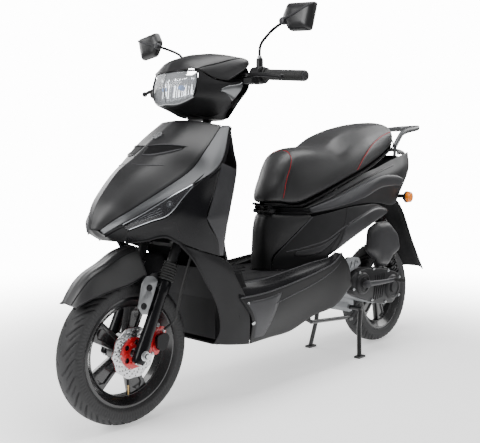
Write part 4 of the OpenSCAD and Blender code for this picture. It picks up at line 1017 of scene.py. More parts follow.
def bake(obj):
    """Applies an object's modifiers to its mesh."""
    graph = bpy.context.evaluated_depsgraph_get()
    old = obj.data
    obj.data = bpy.data.meshes.new_from_object(obj.evaluated_get(graph))
    obj.modifiers.clear()
    bpy.data.meshes.remove(old)


def verts_of(obj):
    out = np.empty(len(obj.data.vertices) * 3)
    obj.data.vertices.foreach_get("co", out)
    return out.reshape(-1, 3)


def put_verts(obj, points):
    obj.data.vertices.foreach_set("co", np.ascontiguousarray(points, dtype=np.float32).ravel())
    obj.data.update()


def puff(obj):
    """Inflates a closed mesh like a sewn, filled cover."""
    cloth = obj.modifiers.new("cloth", "CLOTH")
    cloth.settings.quality = 5
    cloth.settings.use_pressure = True
    cloth.settings.uniform_pressure_force = SEAT_PRESSURE
    cloth.settings.tension_stiffness = SEAT_STIFFNESS
    cloth.settings.compression_stiffness = SEAT_STIFFNESS
    cloth.settings.effector_weights.gravity = 0.0
    cloth.point_cache.frame_end = 14
    scene = bpy.context.scene
    for f in range(1, SEAT_FRAMES + 1):
        scene.frame_set(f)
    bake(obj)
    scene.frame_set(1)


def relax(obj, points, rounds):
    """Laplacian smoothing, which takes the voxel steps out of the surface."""
    edges = np.empty(len(obj.data.edges) * 2, dtype=np.int64)
    obj.data.edges.foreach_get("vertices", edges)
    a, b = edges.reshape(-1, 2).T
    count = np.bincount(np.concatenate([a, b]), minlength=len(points))[:, None]
    for _ in range(rounds):
        total = np.zeros_like(points)
        np.add.at(total, a, points[b])
        np.add.at(total, b, points[a])
        points = points * 0.45 + total / count * 0.55
    put_verts(obj, points)
    return points


def seat_seams(obj, points):
    """Presses the two seams into the cushion and returns their paths in metres."""
    halves = [
        [[-650, 66, 640], [-656, 66, 672], [-662, 69, 706], [-678, 74, 752], [-692, 66, 784],
         [-704, 44, 803], [-712, 22, 812], [-715, 0, 815]],
        [[-1000, 150, 738], [-1020, 148, 762], [-1049, 142, 790], [-1096, 130, 822],
         [-1150, 116, 850],
         [-1225, 100, 876], [-1300, 86, 896], [-1352, 74, 905]]]
    paths = []
    tree = BVHTree.FromPolygons([tuple(p) for p in points],
                                [tuple(p.vertices) for p in obj.data.polygons])
    for half in halves:
        for side in (1, -1):
            fine = fine_row([(x, side * y, z) for x, y, z in half], 14)
            paths.append(np.array([tree.find_nearest(at(*p))[0] for p in fine]))
    for path in paths:
        near = np.full(len(points), 1.0)
        for p in path:
            near = np.minimum(near, np.linalg.norm(points - p, axis=1))
        normals = np.array([v.normal for v in obj.data.vertices])
        points = points - normals * (2.2 * MM * np.exp(-(near / (5.0 * MM)) ** 2))[:, None]
    put_verts(obj, points)
    return paths


def stitch(obj, paths):
    """A row of red stitches along each seam."""
    tree = BVHTree.FromPolygons([tuple(v.co) for v in obj.data.vertices],
                                [tuple(p.vertices) for p in obj.data.polygons])
    thread = bmesh.new()
    to_mm = TO_FRAME.inverted()
    for path in paths:
        mm = np.array([to_mm @ Vector(p) for p in path])
        along = np.concatenate([[0], np.cumsum(np.linalg.norm(np.diff(mm, axis=0), axis=1))])
        for start in np.arange(2, along[-1] - 6, 7.0):
            ends = []
            for t in (start, start + 2.8, start + 5.6):
                p = np.array([np.interp(t, along, mm[:, i]) for i in range(3)])
                spot, normal, _, _ = tree.find_nearest(at(*p))
                ends.append(np.array(to_mm @ spot) + 0.9 * np.array(normal))
            add_sweep(thread, ends, 1.5, 1.0, steps=6)
    piece("seat_stitches", thread, "seat", "seat_vinyl", look="stitch_red")


# ---------------------------------------------------------------- wheels and fork
RAKE = math.radians(25)


def fork(forward, y, up):
    """A point in the fork's own frame: up runs along the legs from the front axle."""
    return np.array([forward * math.cos(RAKE) - up * math.sin(RAKE), y,
                     AXLE_Z + forward * math.sin(RAKE) + up * math.cos(RAKE)])


FORK_UP = fork(0, 0, 1) - fork(0, 0, 0)


def add_ring(bm, centre, axis, loop, steps=72):
    """A turned ring whose section is a closed loop of (radius, distance along the axis)."""
    u, v, d = axes_for(axis)
    centre = np.asarray(centre, float)
    rings = []
    for i in range(steps):
        a = 2 * math.pi * i / steps
        out = math.cos(a) * u + math.sin(a) * v
        rings.append([centre + d * h + r * out for r, h in loop])
    return add_loft(bm, rings, closed=True)


def tyre(name, x, body, node):
    """A tyre with curved shoulder grooves, a centre row and fine sidewall ribs."""
    steps, grooves, sidewall_ribs = 720, 26, 120
    outer = [[161.5, 38.5], [168, 43], [177, 45.2], [189, 45.6], [198, 42], [207, 32], [212, 20],
             [213.8, 8],
             [213.8, 0]]
    half = fine_row(outer, 4)
    inner = [[155.5, 30.5], [147.5, 24], [139.5, 9]]
    loop = np.concatenate([np.array(inner)[::-1], half, (half * (1, -1))[-2::-1],
                           np.array(inner) * (1, -1)])
    slope = np.gradient(loop, axis=0)
    normal = np.stack([-slope[:, 1], slope[:, 0]], axis=1)
    normal /= np.linalg.norm(normal, axis=1, keepdims=True)
    normal[normal[:, 0] < -0.2] *= -1
    y = loop[:, 1]
    wide = np.abs(y)
    tread = (loop[:, 0] > 190)
    bm = bmesh.new()
    rings = []
    for i in range(steps):
        a = 2 * math.pi * i / steps
        count = grooves * a / (2 * math.pi)
        bend = 0.95 * np.clip((wide - 6) / 38, 0, 1) ** 1.5
        deep = np.zeros(len(loop))
        for shift, low, high, size in [(0.0, 7, 44, 4.2), (0.5, 22, 42, 3.2)]:
            place = count + shift + np.where(y > 0, 0.0, 0.5) - bend
            d = (place - np.floor(place) - 0.5) * 50
            window = 1 / (1 + np.exp(-(wide - low) / 1.2)) / (1 + np.exp((wide - high) / 1.2))
            deep = np.maximum(deep, size * np.exp(-(d / 3.3) ** 4) * window)
        deep = deep * tread
        sidewall = (loop[:, 0] > 166) & (loop[:, 0] < 190)
        deep = deep + np.where(sidewall, 0.35 * (1 + math.cos(a * sidewall_ribs)), 0)
        p = loop - normal * deep[:, None]
        cos_a, sin_a = math.cos(a), math.sin(a)
        rings.append([(x + r * cos_a, yy, AXLE_Z + r * sin_a) for r, yy in p])
    add_loft(bm, rings, closed=True)
    piece(name, bm, body, "tyre_rubber", sharp=40, stands_for=[node])


def rim(name, x, body, node):
    bm = bmesh.new()
    f = 161
    barrel = [(f, 33.6), (f, 37), (f - 1.5, 38), (f - 9, 38.8), (f - 14, 34), (f - 24, 22),
              (f - 31, 14),
              (f - 31, -14), (f - 24, -22), (f - 14, -34), (f - 9, -38.8), (f - 1.5, -38), (f, -37),
              (f, -33.6),
              (f - 7, -30), (f - 15, -23.6), (f - 22.5, -9), (f - 22.5, 9), (f - 15, 23.6),
              (f - 7, 30)]
    add_ring(bm, (x, 0, AXLE_Z), (0, 1, 0), barrel, 144)
    add_ring(bm, (x, 0, AXLE_Z), (0, 1, 0),
             [(f - 33, 15), (f - 30, 15), (f - 30, 18.5), (f - 32, 18.5)], 144)
    bore = 6.6 if node == "front_rim" else 9.6
    add_ring(bm, (x, 0, AXLE_Z), (0, 1, 0),
             [(bore, -39), (31, -39.5), (36, -35), (37, -21), (49, -18), (52, -14),
                                             (52, 14), (49, 18), (37, 21), (36, 35), (31, 39.5),
                                             (bore, 39)], 72)
    for i in range(5):
        a = math.radians(72 * i + 36)
        d, t = np.array([math.cos(a), 0, -math.sin(a)]), np.array([math.sin(a), 0, math.cos(a)])
        rings = []
        for r in np.linspace(40, f - 29, 15):
            k = (r - 40) / (f - 69)
            w = 21 + 11 * k ** 1.3
            g = (6 + 11 * k) * min(1.0, max(0.2, (r - 44) / 8),
                                   max(0.2, (122 - r) / 6) if r > 112 else 1.0)
            deep = 5.0 * min(1.0, max(0.0, (r - 46) / 10)) * min(1.0, max(0.0, (124 - r) / 8))
            h = 12.6
            face = [(-w, h - 4), (-w + 1.6, h - 1), (-w + 4, h), (-g - 2.4, h), (-g, h - deep),
                    (g, h - deep),
                    (g + 2.4, h), (w - 4, h), (w - 1.6, h - 1), (w, h - 4)]
            loop = face + [(p, -q) for p, q in face[::-1]]
            rings.append([np.array([x, 0, AXLE_Z]) + r * d + p * t + (0, q, 0) for p, q in loop])
        add_loft(bm, rings)
    piece(name, bm, body, "rim_black", bevel=0.7, sharp=32, stands_for=[node])


def wheel_details():
    valve = bmesh.new()
    stem = fine_row([(0, 15, -131), (1, 17, -124), (2, 18.5, -112), (3, 19, -98)],
                    5) + (0, 0, AXLE_Z)
    add_sweep(valve, stem, 2.6)
    piece("valve_stem", valve, "front_wheel", "bright_steel", look="brass")
    cap = bmesh.new()
    add_turned(cap, stem[-1] - (0, 0, 1), stem[-1] - stem[-2],
               [(3.2, 0), (3.6, 1), (3.6, 10), (2.6, 12), (0.1, 12)], 20)
    piece("valve_cap", cap, "front_wheel", "grip_rubber")

    disc = bmesh.new()
    wave = [((73 + 1.9 * math.cos(math.radians(10 * a))) * math.cos(math.radians(a)),
             AXLE_Z + (73 + 1.9 * math.cos(math.radians(10 * a))) * math.sin(math.radians(a))) for a in range(0, 360, 2)]
    holes = [circle(0, AXLE_Z, 45, 72)]
    for i in range(20):
        a = math.radians(18 * i)
        for r, size, lead in [(53, 2.4, 0), (60, 2.9, 7), (67, 2.4, 14)]:
            b = a + math.radians(lead)
            holes.append(circle(r * math.cos(b), AXLE_Z + r * math.sin(b), size, 14))
    add_cut_plate(disc, wave, holes, 43, 1.9)
    piece("brake_disc_plate", disc, "front_wheel", "disc_steel", sharp=30,
          stands_for=["brake_disc"])
    edge = bmesh.new()
    rim_line = [np.array((px, 41.2, pz)) for px, pz in wave[::2]]
    hub = np.array((0, 41.2, AXLE_Z))
    loops = []
    for p in rim_line:
        out = (p - hub) / np.linalg.norm(p - hub)
        loops.append([p - 3.0 * out, p - 3.0 * out - (0, 0.9, 0), p + 0.3 * out - (0, 0.9, 0),
                      p + 0.3 * out])
    add_loft(edge, loops, closed=True)
    piece("disc_edge_red", edge, "front_wheel", "disc_steel", look="caliper_red")
    carrier = bmesh.new()
    star = []
    for i in range(60):
        a = 2 * math.pi * i / 60
        r = 44.5 + 6.0 * max(0.0, math.cos(5 * a)) ** 4
        star.append((r * math.cos(a), AXLE_Z + r * math.sin(a)))
    cuts = [circle(0, AXLE_Z, 15, 32)]
    for i in range(5):
        a = 2 * math.pi * (i + 0.5) / 5
        cuts.append([(px, pz) for px,
                     pz in circle(31 * math.cos(a), AXLE_Z + 31 * math.sin(a), 8.5, 20)])
    add_cut_plate(carrier, star, cuts, 45.6, 1.6)
    for i in range(5):
        a = 2 * math.pi * i / 5
        add_bolt(carrier, (30 * math.cos(a), 46.8, AXLE_Z + 30 * math.sin(a)), (0, 1, 0), 4.4, 4.6)
    piece("disc_carrier", carrier, "front_wheel", "disc_steel", look="caliper_red", sharp=30)
    rivets = bmesh.new()
    for i in range(5):
        a = 2 * math.pi * i / 5
        add_turned(rivets, (47.6 * math.cos(a), 44.5, AXLE_Z + 47.6 * math.sin(a)), (0, 1, 0),
                   [(3.8, 0), (3.8, 2.2), (3.0, 2.9), (1.6, 2.9), (1.2, 2.2), (0.1, 2.2)], 20)
    piece("disc_rivets", rivets, "front_wheel", "bright_steel")


def fork_parts():
    legs, gaiters, lugs, bands = bmesh.new(), bmesh.new(), bmesh.new(), bmesh.new()
    for s in (-1, 1):
        foot = fork(0, s * 75, 0)
        add_ring(legs, foot, FORK_UP,
                 [(6.6, -27), (14, -27), (18, -24), (19.6, -18), (20, -6), (20, 30), (19, 36),
                                       (18, 60), (18, 178), (19.8, 184), (20, 190), (20, 216),
                                       (18, 221), (15.3, 222),
                                       (15.3, 30), (6.6, 28)], 48)
        ribs = [(15.5, 222)]
        for i in range(7):
            z = 222 + 8 * i
            ribs += [(19.2, z + 0.4), (23.6 - 0.5 * i, z + 2.4), (24 - 0.5 * i, z + 4),
                     (23.4 - 0.5 * i, z + 5.6),
                     (19.0, z + 7.6)]
        ribs += [(18.6, 278), (15.5, 278)]
        add_ring(gaiters, foot, FORK_UP, ribs, 48)
        for up in (224, 275):
            add_ring(bands, foot, FORK_UP,
                     [(19.5, up - 1.6), (21.4, up - 1.6), (21.4, up + 1.6), (19.5, up + 1.6)], 48)
        add_bolt(lugs, (0, s * 96, AXLE_Z), (0, s, 0), 10.5, 8)
        add_bolt(bands, fork(21, s * 75, 202), fork(1, 0, 0) - fork(0, 0, 0), 3.4, 4)
        add_turned(lugs, fork(0, s * 75, -27), -FORK_UP,
                   [(8, 0), (8, 3), (7, 4), (4, 4), (3.4, 2.4), (0.1, 2.4)], 24)
    add_plate(legs, rounded([(-96, 262), (-108, 246), (-96, 214), (-74, 208), (-60, 226),
                             (-62, 256)], 8), 66, 77)
    piece("fork_leg_castings", legs, "fork_slider", "frame_black", look="gloss_black", sharp=30,
          stands_for=["fork_lowers"])
    piece("fork_gaiters", gaiters, "fork_slider", "grip_rubber", sharp=60)
    piece("fork_nuts", lugs, "fork_slider", "bright_steel", sharp=30)
    piece("gaiter_bands", bands, "fork_slider", "frame_black", look="cowl_grey", sharp=30)

    plate = bmesh.new()
    outline = rounded([(-45, 434), (-62, 420), (-40, 366), (-21, 327), (-2, 330), (10, 355),
                       (-5, 419), (-20, 436)], 6)
    eyes = [circle(-30, 402, 5, 16), circle(-9, 352, 5, 16)]
    add_cut_plate(plate, outline, eyes, 78.5, 1.8, 0.5)
    mirrored(plate)
    piece("fender_bracket_plate", plate, "fork_slider", "bright_steel", look="light_trim_and_highlight", sharp=30)
    mount, heads = bmesh.new(), bmesh.new()
    add_plate(mount, rounded([(-52, 440), (-90, 440), (-100, 400), (-84, 350), (-34, 330),
                              (-14, 352), (-28, 410)], 8), 61, 65)
    for px, pz in [(-30, 402), (-9, 352)]:
        add_bar(mount, (px, 64, pz), (px, 77, pz), 10)
        add_turned(heads, (px, 80.4, pz), (0, 1, 0),
                   [(9.4, 0), (9.4, 2.4), (8, 3.6), (4.6, 3.6), (4, 2), (0.1, 2)], 28)
    mirrored(mount)
    mirrored(heads)
    piece("fender_mount", mount, "fork_slider", "frame_black", bevel=0.5)
    piece("fender_mount_bolts", heads, "fork_slider", "frame_black", look="grain_black", sharp=30)

    red, bolts = bmesh.new(), bmesh.new()
    hull = rounded([(-56, 198), (-80, 196), (-93, 222), (-112, 252), (-108, 274), (-88, 279),
                    (-64, 262), (-49, 244),
                    (-48, 222)], 9)
    away = []
    for p in hull:
        d = p - (0, AXLE_Z)
        away.append(tuple((0, AXLE_Z) + d * max(1.0, 81 / np.linalg.norm(d))))
    add_plate(red, [tuple(p) for p in hull], 49.5, 57)
    add_plate(red, [tuple(p) for p in hull], 27, 38.6)
    add_plate(red, away, 37.5, 50.4)
    for px, pz in [(-72, 219), (-84, 251)]:
        add_turned(red, (px, 56.5, pz), (0, 1, 0),
                   [(15, 0), (14.6, 2.4), (12.4, 3.6), (9, 3.6), (8, 2.2), (0.1, 2.2)], 36)
        add_turned(red, (px, 27.5, pz), (0, -1, 0), [(15, 0), (14, 2), (11, 3), (0.1, 3)], 36)
    for px, pz in [(-101, 262), (-98, 243), (-57, 203)]:
        add_bolt(bolts, (px, 56.8, pz), (0, 1, 0), 4.2, 4.4)
    add_turned(bolts, (-86, 50, 275), (-0.3, 0, 1),
               [(4, 0), (4, 5), (2.4, 6), (2.4, 11), (1.6, 12), (0.1, 12)], 20)
    piece("caliper_castings", red, "fork_slider", "caliper_red", bevel=1.2, sharp=30,
          stands_for=["brake_caliper"])
    piece("caliper_bolts", bolts, "fork_slider", "bright_steel")

    both = [FENDER, [[(x, -y, z) for x, y, z in row] for row in FENDER]]
    skin("fender_skin", both, (0, 0, AXLE_Z), "fork_slider", "satin_black", look="satin_fender",
         wall=2.4, k=9,
         stands_for=["front_fender"])
    shape = Surface(FENDER, (0, 0, AXLE_Z))
    lines = bmesh.new()
    for v, w in [(0.52, 1.8), (0.985, 2.2)]:
        points, normals = shape.path([[0.01, v], [0.3, v], [0.6, v], [0.97, v]], 0.2)
        add_sweep(lines, points, w, 1.2, normals)
    mirrored(lines)
    piece("fender_creases", lines, "fork_slider", "satin_black", look="cowl_grey")


# ---------------------------------------------------------------- cockpit
BAR_X = -20 / math.cos(RAKE) - (1033 - 214) * math.tan(RAKE)


def cockpit():
    for name, grid in [("cowl_top_skin", COWL_TOP), ("cowl_side_skin", COWL_SIDE),
                       ("dash_skin", DASH)]:
        patches = [grid, [[(x, -y, z) for x, y, z in row] for row in grid]]
        skin(name, patches, (-290, 0, 990), "steering", "satin_black",
             look="panel_black" if name == "cowl_side_skin" else None, wall=2.2,
             stands_for=["bar_cover"] if name == "cowl_top_skin" else ())
    top, side = Surface(COWL_TOP, (-290, 0, 990)), Surface(COWL_SIDE, (-290, 0, 990))
    # painted highlight: the wedge below is a light grey patch raised just off the cowl side, where light falls on it
    highlight_wedge, crease = bmesh.new(), bmesh.new()
    grid = []
    for u in np.linspace(0.52, 1.0, 24):
        k = (u - 0.52) / 0.48
        grid.append([side.point(u, 0.30 * (1 - k) ** 0.8 + (0.36 + 0.10 * k - 0.30 * (1 - k) ** 0.8) * t,
                                0.3 + 2.2 * math.sin(math.pi * t)) for t in np.linspace(0, 1, 7)])
    add_grid(highlight_wedge, grid, (-290, 0, 990))
    mirrored(highlight_wedge)
    piece("cowl_painted_highlight", highlight_wedge, "steering", "cowl_grey", look="light_trim_and_highlight", wall=0.4)
    points, normals = top.path([[0.0, 0.5], [0.3, 0.54], [0.62, 0.60], [0.96, 0.66]], 0.3)
    add_sweep(crease, points, 2.4, 1.6, normals, taper=lambda t: 0.5 + 0.5 * math.sin(math.pi * t))
    points, normals = top.path([[0.02, 0.98], [0.4, 0.98], [0.8, 0.97]], 0.3)
    add_sweep(crease, points, 2.0, 1.4, normals)
    mirrored(crease)
    piece("cowl_creases", crease, "steering", "cowl_grey")

    both = [[[(x, -y, z) for x, y, z in row] for row in LENS], LENS]
    skin("headlamp_glass", both, (-260, 0, 985), "steering", "clear_lens", wall=1.5, bevel=0.3,
         k=10,
         stands_for=["headlamp_lens"])
    glass = Surface(LENS, (-260, 0, 985))
    back = bmesh.new()
    columns = 8
    for i in range(columns):
        v0, v1 = 0.9 * i / columns, 0.9 * (i + 1) / columns
        grid = []
        for u in np.linspace(0.12, 0.92, 9):
            dip = 10 + 16 * math.sin(math.pi * u)
            grid.append([glass.point(u, v0 + (v1 - v0) * 0.04, -dip - (4 if i % 2 else 0)),
                         glass.point(u, (v0 + v1) / 2, -dip - 5),
                         glass.point(u, v1 - (v1 - v0) * 0.04, -dip - (0 if i % 2 else 4))])
        add_grid(back, grid, (-260, 0, 985))
    mirrored(back)
    piece("lamp_reflector", back, "steering", "reflector", wall=0.8, sharp=8,
          stands_for=["headlamp_unit"])
    frame_dark, lip, bulbs = bmesh.new(), bmesh.new(), bmesh.new()
    edge = [glass.point(0.0, v, 0.4) for v in np.linspace(0, 1, 24)]
    add_sweep(frame_dark, edge, 2.6, 1.8)
    side_edge = [glass.point(u, 0.995, 0.4) for u in np.linspace(0, 1, 18)]
    add_sweep(frame_dark, side_edge, 2.4, 1.8)
    add_sweep(frame_dark, [glass.point(u, 0.02, -3) for u in np.linspace(0.05, 0.95, 12)], 2.0, 2.0)
    low_edge = [glass.point(1.0, v, 0.2) for v in np.linspace(0, 1, 24)]
    add_sweep(lip, low_edge, 2.2, 1.8)
    # painted reflection: the bulbs are coloured blue for the lamp's blue glint
    add_turned(bulbs, (-206, 36, 984), (1, 0.1, 0),
               [(9, 0), (9, 10), (7, 17), (3, 21), (0.1, 21.6)], 28)
    mirrored(frame_dark)
    mirrored(lip)
    mirrored(bulbs)
    piece("lamp_frame", frame_dark, "steering", "gloss_black")
    piece("lamp_lip", lip, "steering", "trim_grey", look="light_trim_and_highlight")
    piece("lamp_bulbs", bulbs, "steering", "reflector", look="painted_blue_glint")
    shade = bmesh.new()
    for flip in (1, -1):
        add_grid(shade, np.array([[glass.point(u, v, -5 - 30 * min(1.0, 5 * (1 - v))) for v in np.linspace(0, 1, 14)]
                                  for u in np.linspace(0.01, 0.99, 9)]) * (1, flip, 1),
                                  (-300, 0, 985))
    add_loft(shade, [[(x, w * math.cos(a), 983 + h * math.sin(a)) for a in around(32)]
                     for x, w, h in [(-236, 84, 40), (-262, 96, 44), (-264, 60, 30)]])
    piece("lamp_housing", shade, "steering", "grain_black")

    neck = bmesh.new()
    rings = []
    for z, wide, long, lead in [(948, 88, 78, 34), (934, 76, 70, 26), (920, 67, 62, 18),
                                (908, 61, 57, 12), (898, 58, 54, 8)]:
        middle = -22.07 - (z - AXLE_Z) * math.tan(RAKE) + lead
        rings.append([(middle + long * signed_power(math.cos(a), 0.85),
                       wide * signed_power(math.sin(a), 0.85), z) for a in around(48)])
    add_loft(neck, rings)
    piece("neck_cover", neck, "steering", "satin_black", look="panel_black", bevel=1.0)
    screws = bmesh.new()
    for y in (-40, 40):
        add_bolt(screws, (-292, y, 916), (0.8, y / 60, -0.1), 3.0, 3.0)
    piece("neck_screws", screws, "steering", "bright_steel")

    for side_name, s in (("left", 1), ("right", -1)):
        grip_piece(side_name, s)
        pods(side_name, s)
        lever(side_name, s)
        mirror(side_name, s)
    dash = bmesh.new()
    dial = Surface(DASH, (-290, 0, 990))
    grid = [[dial.point(u, v, 2.2) for v in np.linspace(0, 0.78, 8)] for u in np.linspace(0.10, 0.36, 8)]
    add_grid(dash, grid, (-290, 0, 990))
    mirrored(dash)
    piece("dash_window", dash, "steering", "smoked_lens", look="gloss_black", wall=1.0)


def grip_point(s, along, out=0.0):
    a = math.radians(7)
    base = np.array([BAR_X, 192 * s, 1031.0])
    return base + along * np.array([0, s * math.cos(a), -math.sin(a)]) + (0, 0, out)


def grip_piece(side_name, s):
    bm = bmesh.new()
    axis = grip_point(s, 1) - grip_point(s, 0)
    profile = [(11.4, 0), (20.4, 0), (21, 1), (21, 4.4), (20, 5), (16, 5.4)]
    for i in range(17):
        y = 8 + 8 * i
        profile += [(16.5, y), (16.5, y + 5.4), (15.7, y + 6.0), (15.7, y + 7.4)]
    profile += [(16.5, 146), (16.5, 150), (11.4, 150)]
    add_ring(bm, grip_point(s, 0), axis, profile, 48)
    body = "throttle" if s < 0 else "steering"
    piece(f"grip_ribs_{side_name}", bm, body, "grip_rubber", sharp=30,
          stands_for=["throttle_grip" if s < 0 else "left_grip"])
    end = bmesh.new()
    add_turned(end, grip_point(s, 150), axis,
               [(15, 0), (15.2, 5), (13.4, 7.4), (7, 7.6), (5.4, 6), (0.1, 6)], 40)
    piece(f"grip_cap_{side_name}", end, body, "grip_rubber", look="grey_and_highlight")


def pods(side_name, s):
    bm = bmesh.new()
    y0, y1 = 150, 188
    rings = []
    for k, shrink in [(0, 3), (0.06, 0.6), (0.5, 0), (0.94, 0.6), (1, 3)]:
        y = y0 + (y1 - y0) * k
        r = 27 - shrink
        rings.append([(BAR_X + 4 + (r + 2) * signed_power(math.cos(a), 0.8), s * y,
                       1030 + r * signed_power(math.sin(a), 0.8)) for a in around(32)])
    add_loft(bm, rings)
    add_box(bm, (BAR_X + 24, min(s * 152, s * 186), 1001),
            (BAR_X + 58, max(s * 152, s * 186), 1017))
    add_turned(bm, (BAR_X + 10, s * 176, 1050), (0, 0, 1),
               [(11, 0), (11, 26), (9.5, 29), (4.9, 29.4)], 28)
    piece(f"switch_pod_{side_name}", bm, "steering", "satin_black", look="panel_black", bevel=1.0,
          stands_for=["switch_pods"] if s > 0 else ())
    keys = bmesh.new()
    for z, w in [(1042, 6), (1030, 5), (1019, 4)]:
        add_box(keys, (BAR_X - 28, min(s * (168 - w), s * (168 + w)), z - 3.4),
                (BAR_X - 22, max(s * (168 - w), s * (168 + w)), z + 3.4))
    if s > 0:
        piece(f"switch_keys_{side_name}", keys, "steering", "grain_black", look="grey_and_highlight",
              bevel=0.8)
    else:
        keys.free()
    nut = bmesh.new()
    add_bolt(nut, (BAR_X + 10, s * 176, 1079), (0, 0, 1), 7.6, 8)
    piece(f"mirror_nut_{side_name}", nut, "steering", "bright_steel")


def lever(side_name, s):
    bm = bmesh.new()
    x, z = BAR_X + 46, 1025
    path = fine_row([(x, 162, z), (x + 14, 182, z - 1), (x + 21, 212, z - 3), (x + 23, 262, z - 10),
                     (x + 22, 304, z - 18)], 6)
    path = path * (1, s, 1)
    add_sweep(bm, path, 6.6, 4.8, taper=lambda t: 1.25 - 0.42 * t, steps=16, power=0.85)
    add_turned(bm, path[0] - (0, 0, 5), (0, 0, 1),
               [(9, 0), (10, 1), (10, 9), (9, 10), (5, 10), (4.6, 12), (0.1, 12)], 28)
    ball = [(9 * math.sin(a), -9 * math.cos(a)) for a in np.linspace(0.05, math.pi - 0.05, 13)]
    add_turned(bm, (x + 22, s * 310, z - 20), (0, s, 0), ball, 24)
    piece(f"brake_lever_{side_name}_cast", bm, f"lever_{side_name}",
          SLOT_OF_NODE[f"brake_lever_{side_name}"],
          look="cowl_grey", stands_for=[f"brake_lever_{side_name}"])


def mirror(side_name, s):
    body = "mirror_l" if s > 0 else "mirror_r"
    stalk = bmesh.new()
    path = fine_row([(BAR_X + 10, 176, 1072), (BAR_X + 10, 176, 1108), (BAR_X + 9, 184, 1128),
                     (BAR_X + 12, 206, 1143),
                     (-383, 238, 1157), (-380, 284, 1174)], 6) * (1, s, 1)
    add_sweep(stalk, path, 4.5)
    piece(f"mirror_stalk_{side_name}", stalk, body, "mirror_shell", look="gloss_black",
          stands_for=[f"mirror_{side_name}"])
    back = bmesh.new()
    plan = rounded([(298, 1224), (396, 1212), (377, 1136), (303, 1144), (277, 1186)], 10, 6)
    middle = np.array([340.0, 1180.0])
    rings = []
    for x, grow in [(-394.6, 0.99), (-393, 1.02), (-386, 1.03), (-378, 0.99), (-372, 0.88),
                    (-368, 0.70), (-366, 0.42)]:
        rings.append([(x, s * (middle[0] + grow * (p[0] - middle[0])),
                       middle[1] + grow * (p[1] - middle[1])) for p in plan])
    add_loft(back, rings)
    piece(f"mirror_back_{side_name}", back, body, "mirror_shell", sharp=38)
    ridge = bmesh.new()
    add_sweep(ridge, np.array([(-369, 284, 1176), (-364.6, 330, 1186),
                               (-368, 384, 1204)]) * (1, s, 1), 3.4, 2.6)
    add_turned(ridge, (-384, s * 284, 1174), (1, 0, 0),
               [(9, 0), (11, 3), (11, 14), (9, 18), (5, 19), (0.1, 19)], 28)
    piece(f"mirror_clamp_{side_name}", ridge, body, "mirror_shell", look="grey_and_highlight")
    glass = bmesh.new()
    face = [(-395.6, s * (middle[0] + 0.93 * (p[0] - middle[0])),
             middle[1] + 0.93 * (p[1] - middle[1])) for p in plan]
    inner = [(x + 1.2, y, z) for x, y, z in face]
    add_loft(glass, [inner, face])
    piece(f"mirror_glass_{side_name}", glass, body, "mirror_shell", look="mirror_glass")


